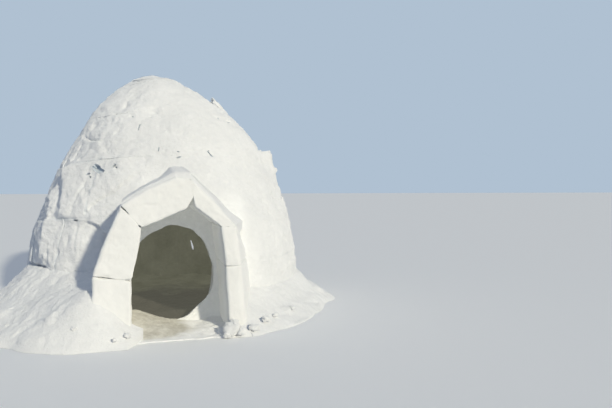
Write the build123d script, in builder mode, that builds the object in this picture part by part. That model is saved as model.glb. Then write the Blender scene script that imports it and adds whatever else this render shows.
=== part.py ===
"""Snow igloo with a gabled entrance porch.

The wall is one rising spiral of snow blocks that closes on a round king block.
A round doorway is cut through the finished wall, and a porch of upright and
leaning snow slabs stands in front of it. Packed snow banks lie against the foot.
All sizes are in millimetres. The origin is the centre of the ring on the ground,
the entrance faces -Y, and +Z is up.
"""

from build123d import *
import math
import os

os.makedirs("parts", exist_ok=True)

# Dome shell: the crown leans to -X above the height where the lean starts
dome_radius = 1410.0
dome_height = 2355.0
dome_fullness = 1.215
crown_lean = 160.0
lean_start = 1450.0
lean_sharpness = 1.9
base_thickness = 240.0
crown_thickness = 180.0

# Spiral of blocks
stations_per_turn = 31
ramp_start = 100.0
closing_step = 85.0
king_block_reach = 250.0
joint_gap = 0.8
arris_bevel = 14.0

# Seats against the wall
seat_clearance = 0.6

# Doorway through the wall: an oval that reaches further to the left, squarer at its lower left
doorway_centre_x = -40.0
doorway_centre_z = 435.0
doorway_left_reach = 375.0
doorway_right_reach = 330.0
doorway_half_height = 405.0
doorway_squareness = 4.0

# Porch: depth before the dome's face, heights above the ground, widths from the dome's axis
porch_depth = 490.0
porch_edge_bevel = 20.0
passage_left = 402.0
passage_right = 350.0
joint_narrowing = 28.0
left_slab_thickness = 280.0
right_slab_thickness = 120.0
foot_batter = 25.0
right_flare = 250.0
left_joint_height = 486.0
right_joint_height = 548.0
joint_slope = 21.0
eaves_height = 866.0
left_eaves = 326.0
right_eaves = 283.0
left_shoulder_width = 472.0
left_shoulder_height = 1036.0
right_shoulder_width = 415.0
right_shoulder_height = 862.0
ridge_height = 1246.0
ridge_offset = 44.0
crest_offset = 64.0
crest_rise = 13.0
ridge_notch_height = 1103.0
ceiling_height = 1010.0
notch_half_width = 30.0
slab_bow = 14.0

# Saddle snow between the roof slabs and the dome, up to a crease on the dome above the roof's line
saddle_rise = 141.0
saddle_setback = 180.0
saddle_front_thickness = 22.0
saddle_bow = 25.0

# Floor, threshold and banks
floor_thickness = 45.0
threshold_thickness = 32.0
threshold_lip = 85.0
threshold_corner = 30.0
heap_depth = 220.0
bank_toe = 24.0
bank_ledge = 25.0
bank_seat_depth = 90.0
heap_shoulder = 20.0

# How deep the pieces that meet the wall start behind its face, before they are cut to it
wall_overlap = 420.0

station_angle = 360.0 / stations_per_turn
porch_reach = dome_radius + porch_depth
porch_back = dome_radius - wall_overlap


def profile_point(t):
    """Outer profile at angle t: radius shrinks with cos(t) to the fullness, height grows with sin(t)."""
    return dome_radius * math.cos(t) ** dome_fullness, dome_height * math.sin(t)


def profile_lengths(steps):
    """Length of the outer profile from the ground up to each of equally spaced angles."""
    lengths = [0.0]
    previous = profile_point(0.0)
    for step in range(1, steps + 1):
        point = profile_point(step / steps * math.pi / 2)
        lengths.append(lengths[-1] + math.dist(previous, point))
        previous = point
    return lengths


profile_steps = 1500
profile_arcs = profile_lengths(profile_steps)
profile_length = profile_arcs[-1]
crown_arc = profile_length - king_block_reach


def angle_at(arc):
    """Profile angle at a length along the outer profile."""
    low, high = 0, profile_steps
    while high - low > 1:
        middle = (low + high) // 2
        if profile_arcs[middle] <= arc:
            low = middle
        else:
            high = middle
    share = (arc - profile_arcs[low]) / (profile_arcs[high] - profile_arcs[low])
    return (low + share) / profile_steps * math.pi / 2


def lean_at(height):
    """How far the dome's rings have moved to -X at a height."""
    return crown_lean * max(0.0, (height - lean_start) / (dome_height - lean_start)) ** lean_sharpness


def wall_point(arc, depth, azimuth):
    """Point (radius, height) at an azimuth, a depth inside the leaning outer profile, along its normal."""
    t = angle_at(arc)
    radius, height = profile_point(t)
    radius -= lean_at(height) * math.cos(math.radians(azimuth))
    run = -dome_fullness * dome_radius * math.cos(t) ** (dome_fullness - 1) * math.sin(t)
    rise = dome_height * math.cos(t)
    slope = math.hypot(run, rise)
    return radius - depth * rise / slope, height + depth * run / slope


def wall_thickness(arc):
    """Wall thickness, thinning evenly from the ground to the crown."""
    return base_thickness + (crown_thickness - base_thickness) * arc / profile_length


def wall_radius(height):
    """Outer radius of the dome at a height above the ground."""
    return dome_radius * (1 - (height / dome_height) ** 2) ** (dome_fullness / 2)


def radial_plane(azimuth):
    """Upright plane through the dome's axis, with its local x pointing out at the azimuth."""
    angle = math.radians(azimuth)
    return Plane(
        origin=(0, 0, 0),
        x_dir=(math.cos(angle), math.sin(angle), 0),
        z_dir=(math.sin(angle), -math.cos(angle), 0),
    )


def chord_factor(azimuth):
    """Share of the full radius that the flat between two stations keeps at an azimuth."""
    half = math.radians(station_angle / 2)
    from_middle = abs(azimuth / station_angle % 1 - 0.5) * math.radians(station_angle)
    return math.cos(half) / math.cos(from_middle)


# The spiral: stations are counted on from turn to turn. Its last block ends a turn after
# spiral_end, where the bed under the king block takes over.
spiral_end = 145
course_rise = (crown_arc - closing_step) * stations_per_turn / spiral_end
block_joints = (
    list(range(0, 30, 2))
    + [31]
    + list(range(34, 93, 2))
    + list(range(95, 126, 3))
    + list(range(130, 156, 5))
    + list(range(162, 177, 7))
)


def bed_arc(station, middle):
    """Length up the profile of the spiral's upper bed at a station, seen from a block's middle."""
    if middle < 0:
        return 0.0
    if middle > spiral_end:
        return crown_arc
    if middle < stations_per_turn:
        return ramp_start + (course_rise - ramp_start) * station / stations_per_turn
    return course_rise * station / stations_per_turn


def block_section(azimuth, low, high, inset):
    """Radial section of a block between two beds, its outer arrises bevelled."""
    factor = chord_factor(azimuth)
    bottom = low + (joint_gap / 2 if low > 0 else 0)
    top = high - joint_gap / 2
    outline = {
        "inner_low": (bottom, wall_thickness(bottom)),
        "bevel_low": (bottom, arris_bevel),
        "face_low": (bottom + arris_bevel, inset),
        "face_middle": ((bottom + top) / 2, inset),
        "face_high": (top - arris_bevel, inset),
        "bevel_high": (top, arris_bevel),
        "inner_high": (top, wall_thickness(top)),
    }
    at = {}
    for corner, (arc, depth) in outline.items():
        radius, height = wall_point(arc, depth, azimuth)
        at[corner] = (radius * factor, height)
    with BuildSketch(radial_plane(azimuth)) as section:
        with BuildLine():
            Polyline(at["face_low"], at["bevel_low"], at["inner_low"])
            Line(at["inner_low"], at["inner_high"])
            Polyline(at["inner_high"], at["bevel_high"], at["face_high"])
            ThreePointArc(at["face_low"], at["face_middle"], at["face_high"])
        make_face()
    return section.sketch


def block_sections(first, last):
    """Sections of one block: bevelled ends a joint's width apart from the next block, and each station."""
    middle = (first + last) / 2
    middle_low = bed_arc(middle - stations_per_turn, middle - stations_per_turn)
    middle_high = bed_arc(middle, middle)
    middle_radius, _ = wall_point((middle_low + middle_high) / 2, 0, middle * station_angle)
    gap = math.degrees(joint_gap / 2 / middle_radius) / station_angle
    bevel = math.degrees(arris_bevel / middle_radius) / station_angle
    places = [(first + gap, arris_bevel), (first + gap + bevel, 0.0)]
    places += [(station, 0.0) for station in range(first + 1, last)]
    places += [(last - gap - bevel, 0.0), (last - gap, arris_bevel)]
    sections = []
    for station, inset in places:
        low = bed_arc(station - stations_per_turn, middle - stations_per_turn)
        high = bed_arc(station, middle)
        sections.append(block_section(station * station_angle, low, high, inset))
    return sections


def side_of(azimuth, sides):
    """Name of the sector that an azimuth lies in, sectors centred on right, back, left and front."""
    share = 360.0 / len(sides)
    return sides[int(((azimuth + share / 2) % 360) // share)]


def doorway_rim(angle):
    """Point of the doorway's outline at an angle about its middle, counted from the right."""
    across, up = math.cos(angle), math.sin(angle)
    reach = doorway_left_reach if across < 0 else doorway_right_reach
    power = doorway_squareness if across < 0 and up < 0 else 2.0
    length = (abs(across) ** power + abs(up) ** power) ** (-1 / power)
    return doorway_centre_x + reach * length * across, doorway_centre_z + doorway_half_height * length * up


# Wall: the blocks of each turn, sorted into the sides that they stand on
quarters = ["right", "back", "left", "front"]
halves = ["right", "left"]
turn_sides = [quarters, quarters, quarters, quarters, halves, ["crown"]]
course_blocks = {}
for first, last in zip(block_joints, block_joints[1:]):
    middle = (first + last) / 2
    turn = int(middle // stations_per_turn)
    side = side_of(middle * station_angle % 360, turn_sides[turn])
    course_blocks.setdefault(f"turn_{turn + 1}_{side}_blocks", []).append((first, last))

for name, blocks in course_blocks.items():
    with BuildPart() as course:
        for first, last in blocks:
            loft(sections=block_sections(first, last), ruled=True)
        if name in ("turn_1_front_blocks", "turn_2_front_blocks"):
            with BuildSketch(Plane.XZ.offset(porch_back)):
                with BuildLine():
                    rim = [doorway_rim(math.radians(angle)) for angle in range(0, 360, 15)]
                    Spline(*rim, periodic=True)
                make_face()
            extrude(amount=porch_reach - porch_back, mode=Mode.SUBTRACT)
    course.part.label = name
    export_step(course.part, f"parts/{name}.step")

# King block: a many-sided plug with sides along the beds, domed on top, that closes the crown.
# Its edge follows the ring of blocks, and the rings above shrink it towards the leaning top.
def ring_corners(arc, depth):
    """Corners of the leaning dome's ring at each station, and the ring's height."""
    corners = []
    for station in range(stations_per_turn):
        azimuth = math.radians(station * station_angle)
        radius, height = wall_point(arc, depth, station * station_angle)
        corners.append((radius * math.cos(azimuth), radius * math.sin(azimuth)))
    return corners, height


king_arc = crown_arc + joint_gap / 2
king_edge, king_edge_height = ring_corners(king_arc, 0)
king_rings = [ring_corners(king_arc, wall_thickness(king_arc)), (king_edge, king_edge_height)]
for share in (0.3, 0.6, 0.88):
    radius, height = profile_point(angle_at(king_arc + (profile_length - king_arc) * share))
    shrink = radius / profile_point(angle_at(king_arc))[0]
    shrunk = [
        (shrink * (x + lean_at(king_edge_height)) - lean_at(height), shrink * y)
        for x, y in king_edge
    ]
    king_rings.append((shrunk, height))
king_rings.append(([(x / 2 - lean_at(dome_height) / 2, y / 2) for x, y in king_rings[-1][0]], dome_height))
with BuildPart() as king_block:
    for corners, height in king_rings:
        with BuildSketch(Plane.XY.offset(height)):
            with BuildLine():
                Polyline(*corners, close=True)
            make_face()
    loft(ruled=True)
king_block.part.label = "king_block"
export_step(king_block.part, "parts/king_block.step")

# Envelope: the dome's outer form with the seat clearance, which cuts whatever leans on the wall
envelope_arcs = [profile_length * share / 12 for share in range(7)]
with BuildPart() as envelope:
    with BuildSketch(Plane.XZ):
        with BuildLine():
            seat_points = [wall_point(arc, -seat_clearance, 270) for arc in envelope_arcs]
            Spline(*seat_points, tangents=[(0, 1), (-1, 1)])
            top_radius, top_height = seat_points[-1]
            Polyline((top_radius, top_height), (0, top_height), (0, -1), (dome_radius, -1), seat_points[0])
        make_face()
    revolve(axis=Axis.Z)


def porch_outline(points, distance, inset):
    """Outline seen from the front, at a distance before the axis, drawn in by an inset."""
    with BuildSketch(Plane.XZ.offset(distance)) as outline:
        with BuildLine():
            Polyline(*points, close=True)
        make_face()
        if inset > 0:
            offset(amount=-inset, kind=Kind.INTERSECTION)
    return outline.sketch


def spread_outline(corners, distance):
    """Corners of a slab at a distance before the axis: each spreads outwards towards the wall."""
    share = (porch_reach - distance) / (porch_reach - porch_back)
    return [(x + spread * right_flare * share, z) for (x, z), spread in corners]


def bowed(start, end, bow):
    """Middle of the line between two points, moved a bow to its left."""
    run, rise = end[0] - start[0], end[1] - start[1]
    length = math.hypot(run, rise)
    return (start[0] + end[0]) / 2 - bow * rise / length, (start[1] + end[1]) / 2 + bow * run / length


ground = -joint_gap / 2
ridge_top = (ridge_offset, ridge_height)
notch_top = (ridge_offset + notch_half_width, ridge_notch_height)
notch_left = (ridge_offset - notch_half_width, ceiling_height)
notch_right = (ridge_offset + notch_half_width, ceiling_height + notch_half_width / 2)
left_foot_outer = -passage_left - left_slab_thickness - foot_batter
right_foot_outer = passage_right + right_slab_thickness + foot_batter
left_joint_inner = (-passage_left, left_joint_height - joint_slope)
left_joint_outer = (-passage_left - left_slab_thickness, left_joint_height + joint_slope)
right_joint_inner = (passage_right - joint_narrowing, right_joint_height)
right_joint_outer = (right_joint_inner[0] + right_slab_thickness, right_joint_height)
left_eaves_point = (-left_eaves, eaves_height)
right_eaves_point = (right_eaves, eaves_height)
left_shoulder = (-left_shoulder_width, left_shoulder_height)
right_shoulder = (right_shoulder_width, right_shoulder_height)
left_crest = (-crest_offset, ridge_height + crest_rise)

# Each slab: the corners of its front outline, and how far each corner spreads outwards at the wall
porch_slabs = {
    "left_jamb_lower": [
        ((-passage_left, ground), 0),
        (left_joint_inner, 0),
        (left_joint_outer, 0),
        ((left_foot_outer, ground), 0),
    ],
    "left_jamb_upper": [
        (left_joint_inner, 0),
        (bowed(left_joint_inner, left_eaves_point, -slab_bow), 0),
        (left_eaves_point, 0),
        (left_shoulder, 0),
        (bowed(left_shoulder, left_joint_outer, -slab_bow), 0),
        (left_joint_outer, 0),
    ],
    "right_jamb_lower": [
        ((passage_right, ground), 0),
        ((right_foot_outer, ground), 1),
        (right_joint_outer, 1),
        (right_joint_inner, 0),
    ],
    "right_jamb_upper": [
        (right_joint_inner, 0),
        (right_joint_outer, 1),
        (right_shoulder, 0.6),
        (right_eaves_point, 0),
    ],
    "left_roof_slab": [
        (left_eaves_point, 0),
        (notch_left, 0),
        (notch_top, 0),
        (ridge_top, 0),
        (left_crest, 0),
        (bowed(left_shoulder, left_crest, 1.5 * slab_bow), 0),
        (left_shoulder, 0),
    ],
    "right_roof_slab": [
        (right_eaves_point, 0),
        (right_shoulder, 0.6),
        (bowed(ridge_top, right_shoulder, slab_bow), 0.1),
        (ridge_top, 0),
        (notch_top, 0),
        (notch_right, 0),
    ],
}
bevel_line = porch_reach - porch_edge_bevel
half_gap = joint_gap / 2
for name, corners in porch_slabs.items():
    with BuildPart() as slab:
        sections = [
            porch_outline(spread_outline(corners, porch_reach), porch_reach, half_gap + porch_edge_bevel),
            porch_outline(spread_outline(corners, bevel_line), bevel_line, half_gap),
            porch_outline(spread_outline(corners, porch_back), porch_back, half_gap),
        ]
        loft(sections=sections, ruled=True)
        add(envelope.part, mode=Mode.SUBTRACT)
    slab.part.label = name
    export_step(slab.part, f"parts/{name}.step")

# The room that the lower jambs take, joint included, and the room across them with the passage
# between: the threshold leaves the first free, and the banks beside the porch the second
with BuildPart() as jamb_room:
    for name in ("left_jamb_lower", "right_jamb_lower"):
        ends = [
            porch_outline(spread_outline(porch_slabs[name], distance), distance, 0)
            for distance in (porch_reach, porch_back)
        ]
        loft(sections=ends, ruled=True)
with BuildPart() as porch_room:
    room = porch_slabs["left_jamb_lower"][:1:-1] + porch_slabs["right_jamb_lower"][2:0:-1]
    ends = [
        porch_outline(spread_outline(room, distance), distance, 0)
        for distance in (porch_reach, porch_back)
    ]
    loft(sections=ends, ruled=True)

def above(line, x, rise):
    """Point at x, a rise above a line of points that run to the right."""
    for (x0, z0), (x1, z1) in zip(line, line[1:]):
        if x0 <= x <= x1:
            height = z0 + (z1 - z0) * (x - x0) / (x1 - x0)
    return x, height + rise


# Saddle snow: packed on the roof slabs' backs up to a crease on the dome. On the left the crease
# climbs ever steeper away from the roof's line.
saddle_front = porch_reach - saddle_setback
saddle_top = (ridge_offset, ridge_height + saddle_rise)
left_roof_top = porch_slabs["left_roof_slab"][6:2:-1]
right_roof_top = porch_slabs["right_roof_slab"][3:0:-1]
left_roof_line = [corner for corner, _ in left_roof_top]
left_crease = [
    above(left_roof_line, left_shoulder[0] + bank_seat_depth, saddle_rise / 6),
    above(left_roof_line, (left_crest[0] * 2 + left_roof_line[1][0]) / 3, saddle_rise / 3),
    above(left_roof_line, left_crest[0], saddle_rise * 0.7),
    saddle_top,
]
right_crease_foot = (right_shoulder_width + right_flare * 0.8, right_shoulder_height + saddle_front_thickness)
right_crease = [saddle_top, bowed(saddle_top, right_crease_foot, saddle_bow), right_crease_foot]
saddle_sides = {
    "left_saddle_snow": (left_roof_top, left_crease, -half_gap),
    "right_saddle_snow": (right_roof_top, right_crease, half_gap),
}
for name, (roof, crease, aside) in saddle_sides.items():
    front_under = [(x + aside, z + half_gap) for x, z in spread_outline(roof, saddle_front)]
    front_over = [(x, z + saddle_front_thickness) for x, z in front_under]
    back_under = [(x + aside, z + half_gap) for x, z in spread_outline(roof, porch_back)]
    back_over = [(x + aside, z) for x, z in crease]
    with BuildPart() as saddle:
        sections = [
            porch_outline(front_under + front_over[::-1], saddle_front, 0),
            porch_outline(back_under + back_over[::-1], porch_back, 0),
        ]
        loft(sections=sections, ruled=True)
        add(envelope.part, mode=Mode.SUBTRACT)
    saddle.part.label = name
    export_step(saddle.part, f"parts/{name}.step")

# Packed floor: a shallow tapered disc that fills the ring
floor_radius = (dome_radius - base_thickness) * math.cos(math.radians(station_angle / 2)) - seat_clearance
with BuildPart() as packed_floor:
    with BuildSketch(Plane.XY):
        Circle(floor_radius)
    extrude(amount=floor_thickness, taper=4)
packed_floor.part.label = "packed_floor"
export_step(packed_floor.part, "parts/packed_floor.step")

# Threshold: trampled snow between the jambs, from before the porch to the wall
threshold_reach = porch_reach + threshold_lip
with BuildPart() as threshold:
    with BuildSketch(Plane.XY):
        with BuildLine():
            Polyline(
                (-passage_left + joint_gap, -porch_back),
                (-passage_left + joint_gap, -threshold_reach + threshold_corner),
                (-passage_left + 4 * threshold_corner, -threshold_reach),
                (passage_right - 4 * threshold_corner, -threshold_reach),
                (passage_right - joint_gap, -threshold_reach + threshold_corner),
                (passage_right - joint_gap, -porch_back),
                close=True,
            )
        make_face()
    extrude(amount=threshold_thickness)
    add(envelope.part, mode=Mode.SUBTRACT)
    add(jamb_room.part, mode=Mode.SUBTRACT)
threshold.part.label = "threshold"
export_step(threshold.part, "parts/threshold.step")

# Snow banks around the ring. Each row has the name of the bank that runs on from it, an azimuth, the
# bank's height on the wall, its shoulder as a distance from the wall's foot and a height, and the
# distance that it reaches from the wall's foot.
def jamb_corner(x):
    """Azimuth of a corner on the porch's front, and its distance from the wall's foot."""
    return math.degrees(math.atan2(-porch_reach, x)) % 360, math.hypot(porch_reach, x) - dome_radius


left_passage_azimuth, left_passage_distance = jamb_corner(-passage_left)
left_jamb_azimuth, left_jamb_distance = jamb_corner(left_foot_outer)
right_jamb_azimuth, right_jamb_distance = jamb_corner(right_foot_outer)
right_passage_azimuth, right_passage_distance = jamb_corner(passage_right)
left_heap_shoulder = (left_passage_distance + heap_shoulder, left_jamb_distance - heap_shoulder)
left_heap_reach = (left_passage_distance + heap_depth, left_jamb_distance + 1.3 * heap_depth)
right_heap_shoulder = (right_jamb_distance - heap_depth / 2, right_passage_distance + heap_shoulder / 2)
right_heap_reach = (right_jamb_distance + heap_depth / 2, right_passage_distance + heap_depth / 2)
bank_rows = [
    ("left_foot_heap", left_passage_azimuth, 400, left_heap_shoulder[0], 130, left_heap_reach[0]),
    ("front_left_bank", left_jamb_azimuth, 450, left_heap_shoulder[1], 390, left_heap_reach[1]),
    ("front_left_bank", 238, 450, 470, 280, 850),
    ("front_left_bank", 225, 450, 370, 200, 790),
    ("left_bank", 205, 440, 270, 180, 680),
    ("left_bank", 180, 400, 220, 160, 560),
    ("back_left_bank", 150, 330, 180, 135, 470),
    ("back_bank", 115, 290, 150, 120, 410),
    ("back_right_bank", 80, 280, 140, 115, 390),
    ("back_right_bank", 45, 280, 140, 115, 380),
    ("right_bank", 10, 270, 135, 110, 360),
    ("right_bank", 340, 270, 140, 110, 370),
    ("front_right_bank", 315, 280, 170, 115, 430),
    ("front_right_bank", 300, 300, 270, 125, 550),
    ("right_foot_heap", right_jamb_azimuth, 310, right_heap_shoulder[0], 150, right_heap_reach[0]),
    ("passage", right_passage_azimuth, 300, right_heap_shoulder[1], 70, right_heap_reach[1]),
]
banks = {}
for row, next_row in zip(bank_rows, bank_rows[1:]):
    banks.setdefault(row[0], [row[1:]]).append(next_row[1:])


def bank_section(azimuth, height, shoulder_distance, shoulder_height, distance):
    """Radial section of a bank: from the wall over its shoulder and down to a low toe."""
    wall = wall_radius(height)
    reach = dome_radius + distance
    with BuildSketch(radial_plane(azimuth)) as section:
        with BuildLine():
            Polyline(
                (wall - bank_seat_depth, 0),
                (reach, 0),
                (reach - bank_toe, bank_toe),
                (dome_radius + shoulder_distance, shoulder_height),
                (wall + bank_ledge, height),
                (wall - bank_seat_depth, height),
                close=True,
            )
        make_face()
    return section.sketch


for name, rows in banks.items():
    with BuildPart() as bank:
        loft(sections=[bank_section(*row) for row in rows], ruled=True)
        if name.endswith("heap"):
            split(bisect_by=Plane.XZ.offset(porch_reach + seat_clearance), keep=Keep.TOP)
        else:
            add(envelope.part, mode=Mode.SUBTRACT)
            add(porch_room.part, mode=Mode.SUBTRACT)
    bank.part.label = name
    export_step(bank.part, f"parts/{name}.step")
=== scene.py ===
"""Snow igloo, finished: the surfaces of its blocks, porch slabs, saddle snow, banks and floors.

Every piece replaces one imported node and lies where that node's solids are. Lengths are in metres
and azimuths in degrees counter-clockwise from +X, seen from above. The entrance faces -Y.
"""

import math
from itertools import product
from types import SimpleNamespace

import bpy
import numpy as np
from bpy.props import FloatProperty, FloatVectorProperty, IntProperty, PointerProperty
from bpy.types import Operator, Panel, PropertyGroup
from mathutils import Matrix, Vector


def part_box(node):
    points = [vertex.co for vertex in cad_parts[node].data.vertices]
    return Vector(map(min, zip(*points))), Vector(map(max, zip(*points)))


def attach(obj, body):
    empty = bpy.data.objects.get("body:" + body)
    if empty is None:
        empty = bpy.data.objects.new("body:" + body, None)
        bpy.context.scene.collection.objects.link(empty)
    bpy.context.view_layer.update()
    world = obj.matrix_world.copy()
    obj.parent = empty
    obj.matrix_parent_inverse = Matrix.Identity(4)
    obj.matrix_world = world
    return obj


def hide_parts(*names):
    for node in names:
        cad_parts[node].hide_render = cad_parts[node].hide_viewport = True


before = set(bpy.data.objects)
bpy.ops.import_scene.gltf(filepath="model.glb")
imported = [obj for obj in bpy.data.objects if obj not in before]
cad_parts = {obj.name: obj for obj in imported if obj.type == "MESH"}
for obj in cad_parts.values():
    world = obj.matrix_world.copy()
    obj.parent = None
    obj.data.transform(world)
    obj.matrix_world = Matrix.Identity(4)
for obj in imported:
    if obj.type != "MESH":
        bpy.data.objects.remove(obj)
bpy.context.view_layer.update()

bl_info = {
    "name": "Snow igloo",
    "version": (1, 0, 0),
    "blender": (4, 5, 0),
    "location": "View3D > Sidebar > Igloo",
    "description": "Builds the snow surfaces of an igloo around its packed solids",
    "category": "Add Mesh",
}

# Dome: the same profile, lean and spiral as the solids have
DOME_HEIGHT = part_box("king_block")[1].z
DOME_RADIUS = 1.410
DOME_FULLNESS = 1.215
CROWN_LEAN = 0.160
LEAN_START = 1.450
LEAN_SHARPNESS = 1.9
BASE_THICKNESS = 0.240
CROWN_THICKNESS = 0.180
STATIONS = 31
STATION_ANGLE = 360 / STATIONS
RAMP_START = 0.100
CLOSING_STEP = 0.085
KING_REACH = 0.250
SPIRAL_END = 145

# Stations of the upright joints: blocks of two stations at first, longer ones as the turns narrow
BLOCK_JOINTS = (
    list(range(0, 30, 2))
    + [31]
    + list(range(34, 93, 2))
    + list(range(95, 126, 3))
    + list(range(130, 156, 5))
    + list(range(162, 177, 7))
)

# Doorway and porch
DOORWAY = (-0.040, 0.435)
DOORWAY_LEFT = 0.375
DOORWAY_RIGHT = 0.330
DOORWAY_TALL = 0.405
DOORWAY_SQUARENESS = 4.0
ROLL_WIDTH = 0.022
PORCH_FRONT = -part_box("left_jamb_upper")[0].y
PORCH_BACK = 0.990
PASSAGE_LEFT = 0.402
PASSAGE_RIGHT = 0.350
RIGHT_FLARE = 0.250
SADDLE_FRONT = 1.830
SADDLE_POWER = 0.30
FLOOR_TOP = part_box("packed_floor")[1].z
FLOOR_RADIUS = 1.165

# Places up the dome's profile: angle, radius, height and the length passed
PROFILE_STEPS = 1500
PROFILE_ANGLES = np.linspace(0, math.pi / 2 - 1e-4, PROFILE_STEPS + 1)
PROFILE_RADII = DOME_RADIUS * np.cos(PROFILE_ANGLES) ** DOME_FULLNESS
PROFILE_HEIGHTS = DOME_HEIGHT * np.sin(PROFILE_ANGLES)
PROFILE_RUNS = np.hypot(np.diff(PROFILE_RADII), np.diff(PROFILE_HEIGHTS))
PROFILE_ARCS = np.concatenate([[0], np.cumsum(PROFILE_RUNS)])
PROFILE_LENGTH = PROFILE_ARCS[-1]
CROWN_ARC = PROFILE_LENGTH - KING_REACH
COURSE_RISE = (CROWN_ARC - CLOSING_STEP) * STATIONS / SPIRAL_END

# Layered noises by what they shape: wavelength in metres, seed, layers and gain
NOISES = {
    "swell": (0.62, 11, 2, 0.5),
    "lumps": (0.17, 23, 3, 0.55),
    "crumbs": (0.045, 37, 2, 0.6),
    "smears": (0.30, 53, 2, 0.5),
    "bites": (0.085, 71, 2, 0.5),
    "knots": (0.075, 79, 2, 0.5),
    "joint cover": (0.42, 5, 2, 0.5),
    "joint wear": (0.11, 83, 2, 0.5),
    "ledges": (0.16, 97, 2, 0.5),
    "inner face": (0.22, 61, 3, 0.5),
    "doorway": (0.50, 7, 2, 0.5),
    "doorway chips": (0.15, 9, 2, 0.5),
    "slab swell": (0.42, 113, 2, 0.5),
    "slab lumps": (0.13, 127, 3, 0.5),
    "slab scraping": (0.035, 131, 2, 0.5),
    "saddle lumps": (0.16, 151, 3, 0.5),
    "saddle crumbs": (0.045, 157, 2, 0.5),
    "bank edge": (0.34, 167, 3, 0.5),
    "bank lumps": (0.26, 173, 3, 0.55),
    "bank crumbs": (0.05, 179, 2, 0.6),
    "bank furrows": (0.22, 181, 3, 0.6),
    "bank clods": (0.09, 191, 2, 0.5),
    "bank lump skin": (0.03, 193, 2, 0.5),
    "threshold lip": (0.11, 197, 2, 0.5),
    "threshold steps": (0.11, 199, 3, 0.5),
    "threshold scuffs": (0.05, 211, 2, 0.5),
    "threshold snow": (0.14, 233, 2, 0.5),
    "threshold front": (0.17, 239, 2, 0.5),
    "threshold shade": (0.05, 241, 2, 0.5),
    "floor steps": (0.20, 223, 3, 0.5),
    "floor scuffs": (0.05, 227, 2, 0.5),
    "floor shade": (0.25, 251, 3, 0.5),
}

# Whole numbers that scatter a place into its hashed value
HASH_STEPS = (374761393, 668265263, 2147483647)
HASH_SEED_STEP = 974711
HASH_ROUNDS = ((13, 1274126177), (16, 2246822519))
HASH_BITS = 0xFFFFFFFF


def smooth_step(low, high, value):
    """0 below low, 1 above high, and an even S-shaped rise between them."""
    share = np.clip((value - low) / (high - low), 0, 1)
    return share * share * (3 - 2 * share)


def bell(away, width):
    """Bell curve: 1 in the middle, falling with the square of the distance over the width."""
    return np.exp(-((away / width) ** 2))


def around(azimuth, table):
    """A table of (azimuth, value) pairs read at azimuths, joined by straight lines round the ring."""
    return np.interp(azimuth, *zip(*table), period=360)


def read_table(table, place):
    """A table of (place, value) pairs read at places, level beyond its two ends."""
    return np.interp(place, *zip(*table))


def value_noise(points, seed):
    """Smooth noise from -1 to 1: hashed values at whole-number points, blended by a quintic fade."""
    cell = np.floor(points).astype(np.int64)
    part = points - cell
    fade = part**3 * (part * (part * 6 - 15) + 10)
    total = np.zeros(points.shape[:-1])
    for corner in product((0, 1), repeat=3):
        spot = cell + np.array(corner)
        mix = (sum(spot[..., k] * HASH_STEPS[k] for k in range(3)) + seed * HASH_SEED_STEP) & HASH_BITS
        for shift, factor in HASH_ROUNDS:
            mix = ((mix ^ (mix >> shift)) * factor) & HASH_BITS
        value = ((mix ^ (mix >> 15)) & 0xFFFF) / 32767.5 - 1
        weight = np.prod(np.where(np.array(corner) == 1, fade, 1 - fade), axis=-1)
        total += weight * value
    return total


def layered_noise(points, wavelength, seed, layers, gain=0.5):
    """Sum of value noise, each layer at half the wavelength and a share of the height of the last."""
    total = np.zeros(points.shape[:-1])
    for layer in range(layers):
        scale = 2**layer / wavelength
        total += gain**layer * value_noise(points * scale + 17.3 * layer, seed + 31 * layer)
    return total


def noise(name, points):
    """One of the named layered noises at points."""
    return layered_noise(points, *NOISES[name])


def lean_at(height):
    """How far the dome's ring at a height has moved to -X."""
    above = np.clip((height - LEAN_START) / (DOME_HEIGHT - LEAN_START), 0, None)
    return CROWN_LEAN * above**LEAN_SHARPNESS


def wall_surface(azimuth, arc):
    """Point and outward normal of the leaning dome at an azimuth and a length up its profile.

    The radius is the dome's radius times cos(t) to the fullness and the height is its height times
    sin(t). The ring at a height has moved to -X by the lean at that height."""
    t = np.interp(arc, PROFILE_ARCS, PROFILE_ANGLES)
    turn = np.radians(azimuth)
    height = DOME_HEIGHT * np.sin(t)
    radius = DOME_RADIUS * np.cos(t) ** DOME_FULLNESS - lean_at(height) * np.cos(turn)
    run = -DOME_FULLNESS * DOME_RADIUS * np.cos(t) ** (DOME_FULLNESS - 1) * np.sin(t)
    rise = DOME_HEIGHT * np.cos(t)
    slope = np.hypot(run, rise)
    point = np.stack([radius * np.cos(turn), radius * np.sin(turn), height], -1)
    normal = np.stack([rise / slope * np.cos(turn), rise / slope * np.sin(turn), -run / slope], -1)
    return point, normal


def wall_radius(height):
    """Outer radius of the dome at a height."""
    return DOME_RADIUS * np.clip(1 - (height / DOME_HEIGHT) ** 2, 0, 1) ** (DOME_FULLNESS / 2)


def wall_thickness(arc):
    """Wall thickness, thinning evenly from the ground to the crown."""
    return BASE_THICKNESS + (CROWN_THICKNESS - BASE_THICKNESS) * arc / PROFILE_LENGTH


def bed_arc(station, middle):
    """Length up the profile of the spiral's upper bed at a station, seen from a block's middle."""
    if middle < 0:
        return np.zeros_like(station)
    if middle > SPIRAL_END:
        return np.full_like(station, CROWN_ARC)
    if middle < STATIONS:
        return RAMP_START + (COURSE_RISE - RAMP_START) * station / STATIONS
    return COURSE_RISE * station / STATIONS


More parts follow.
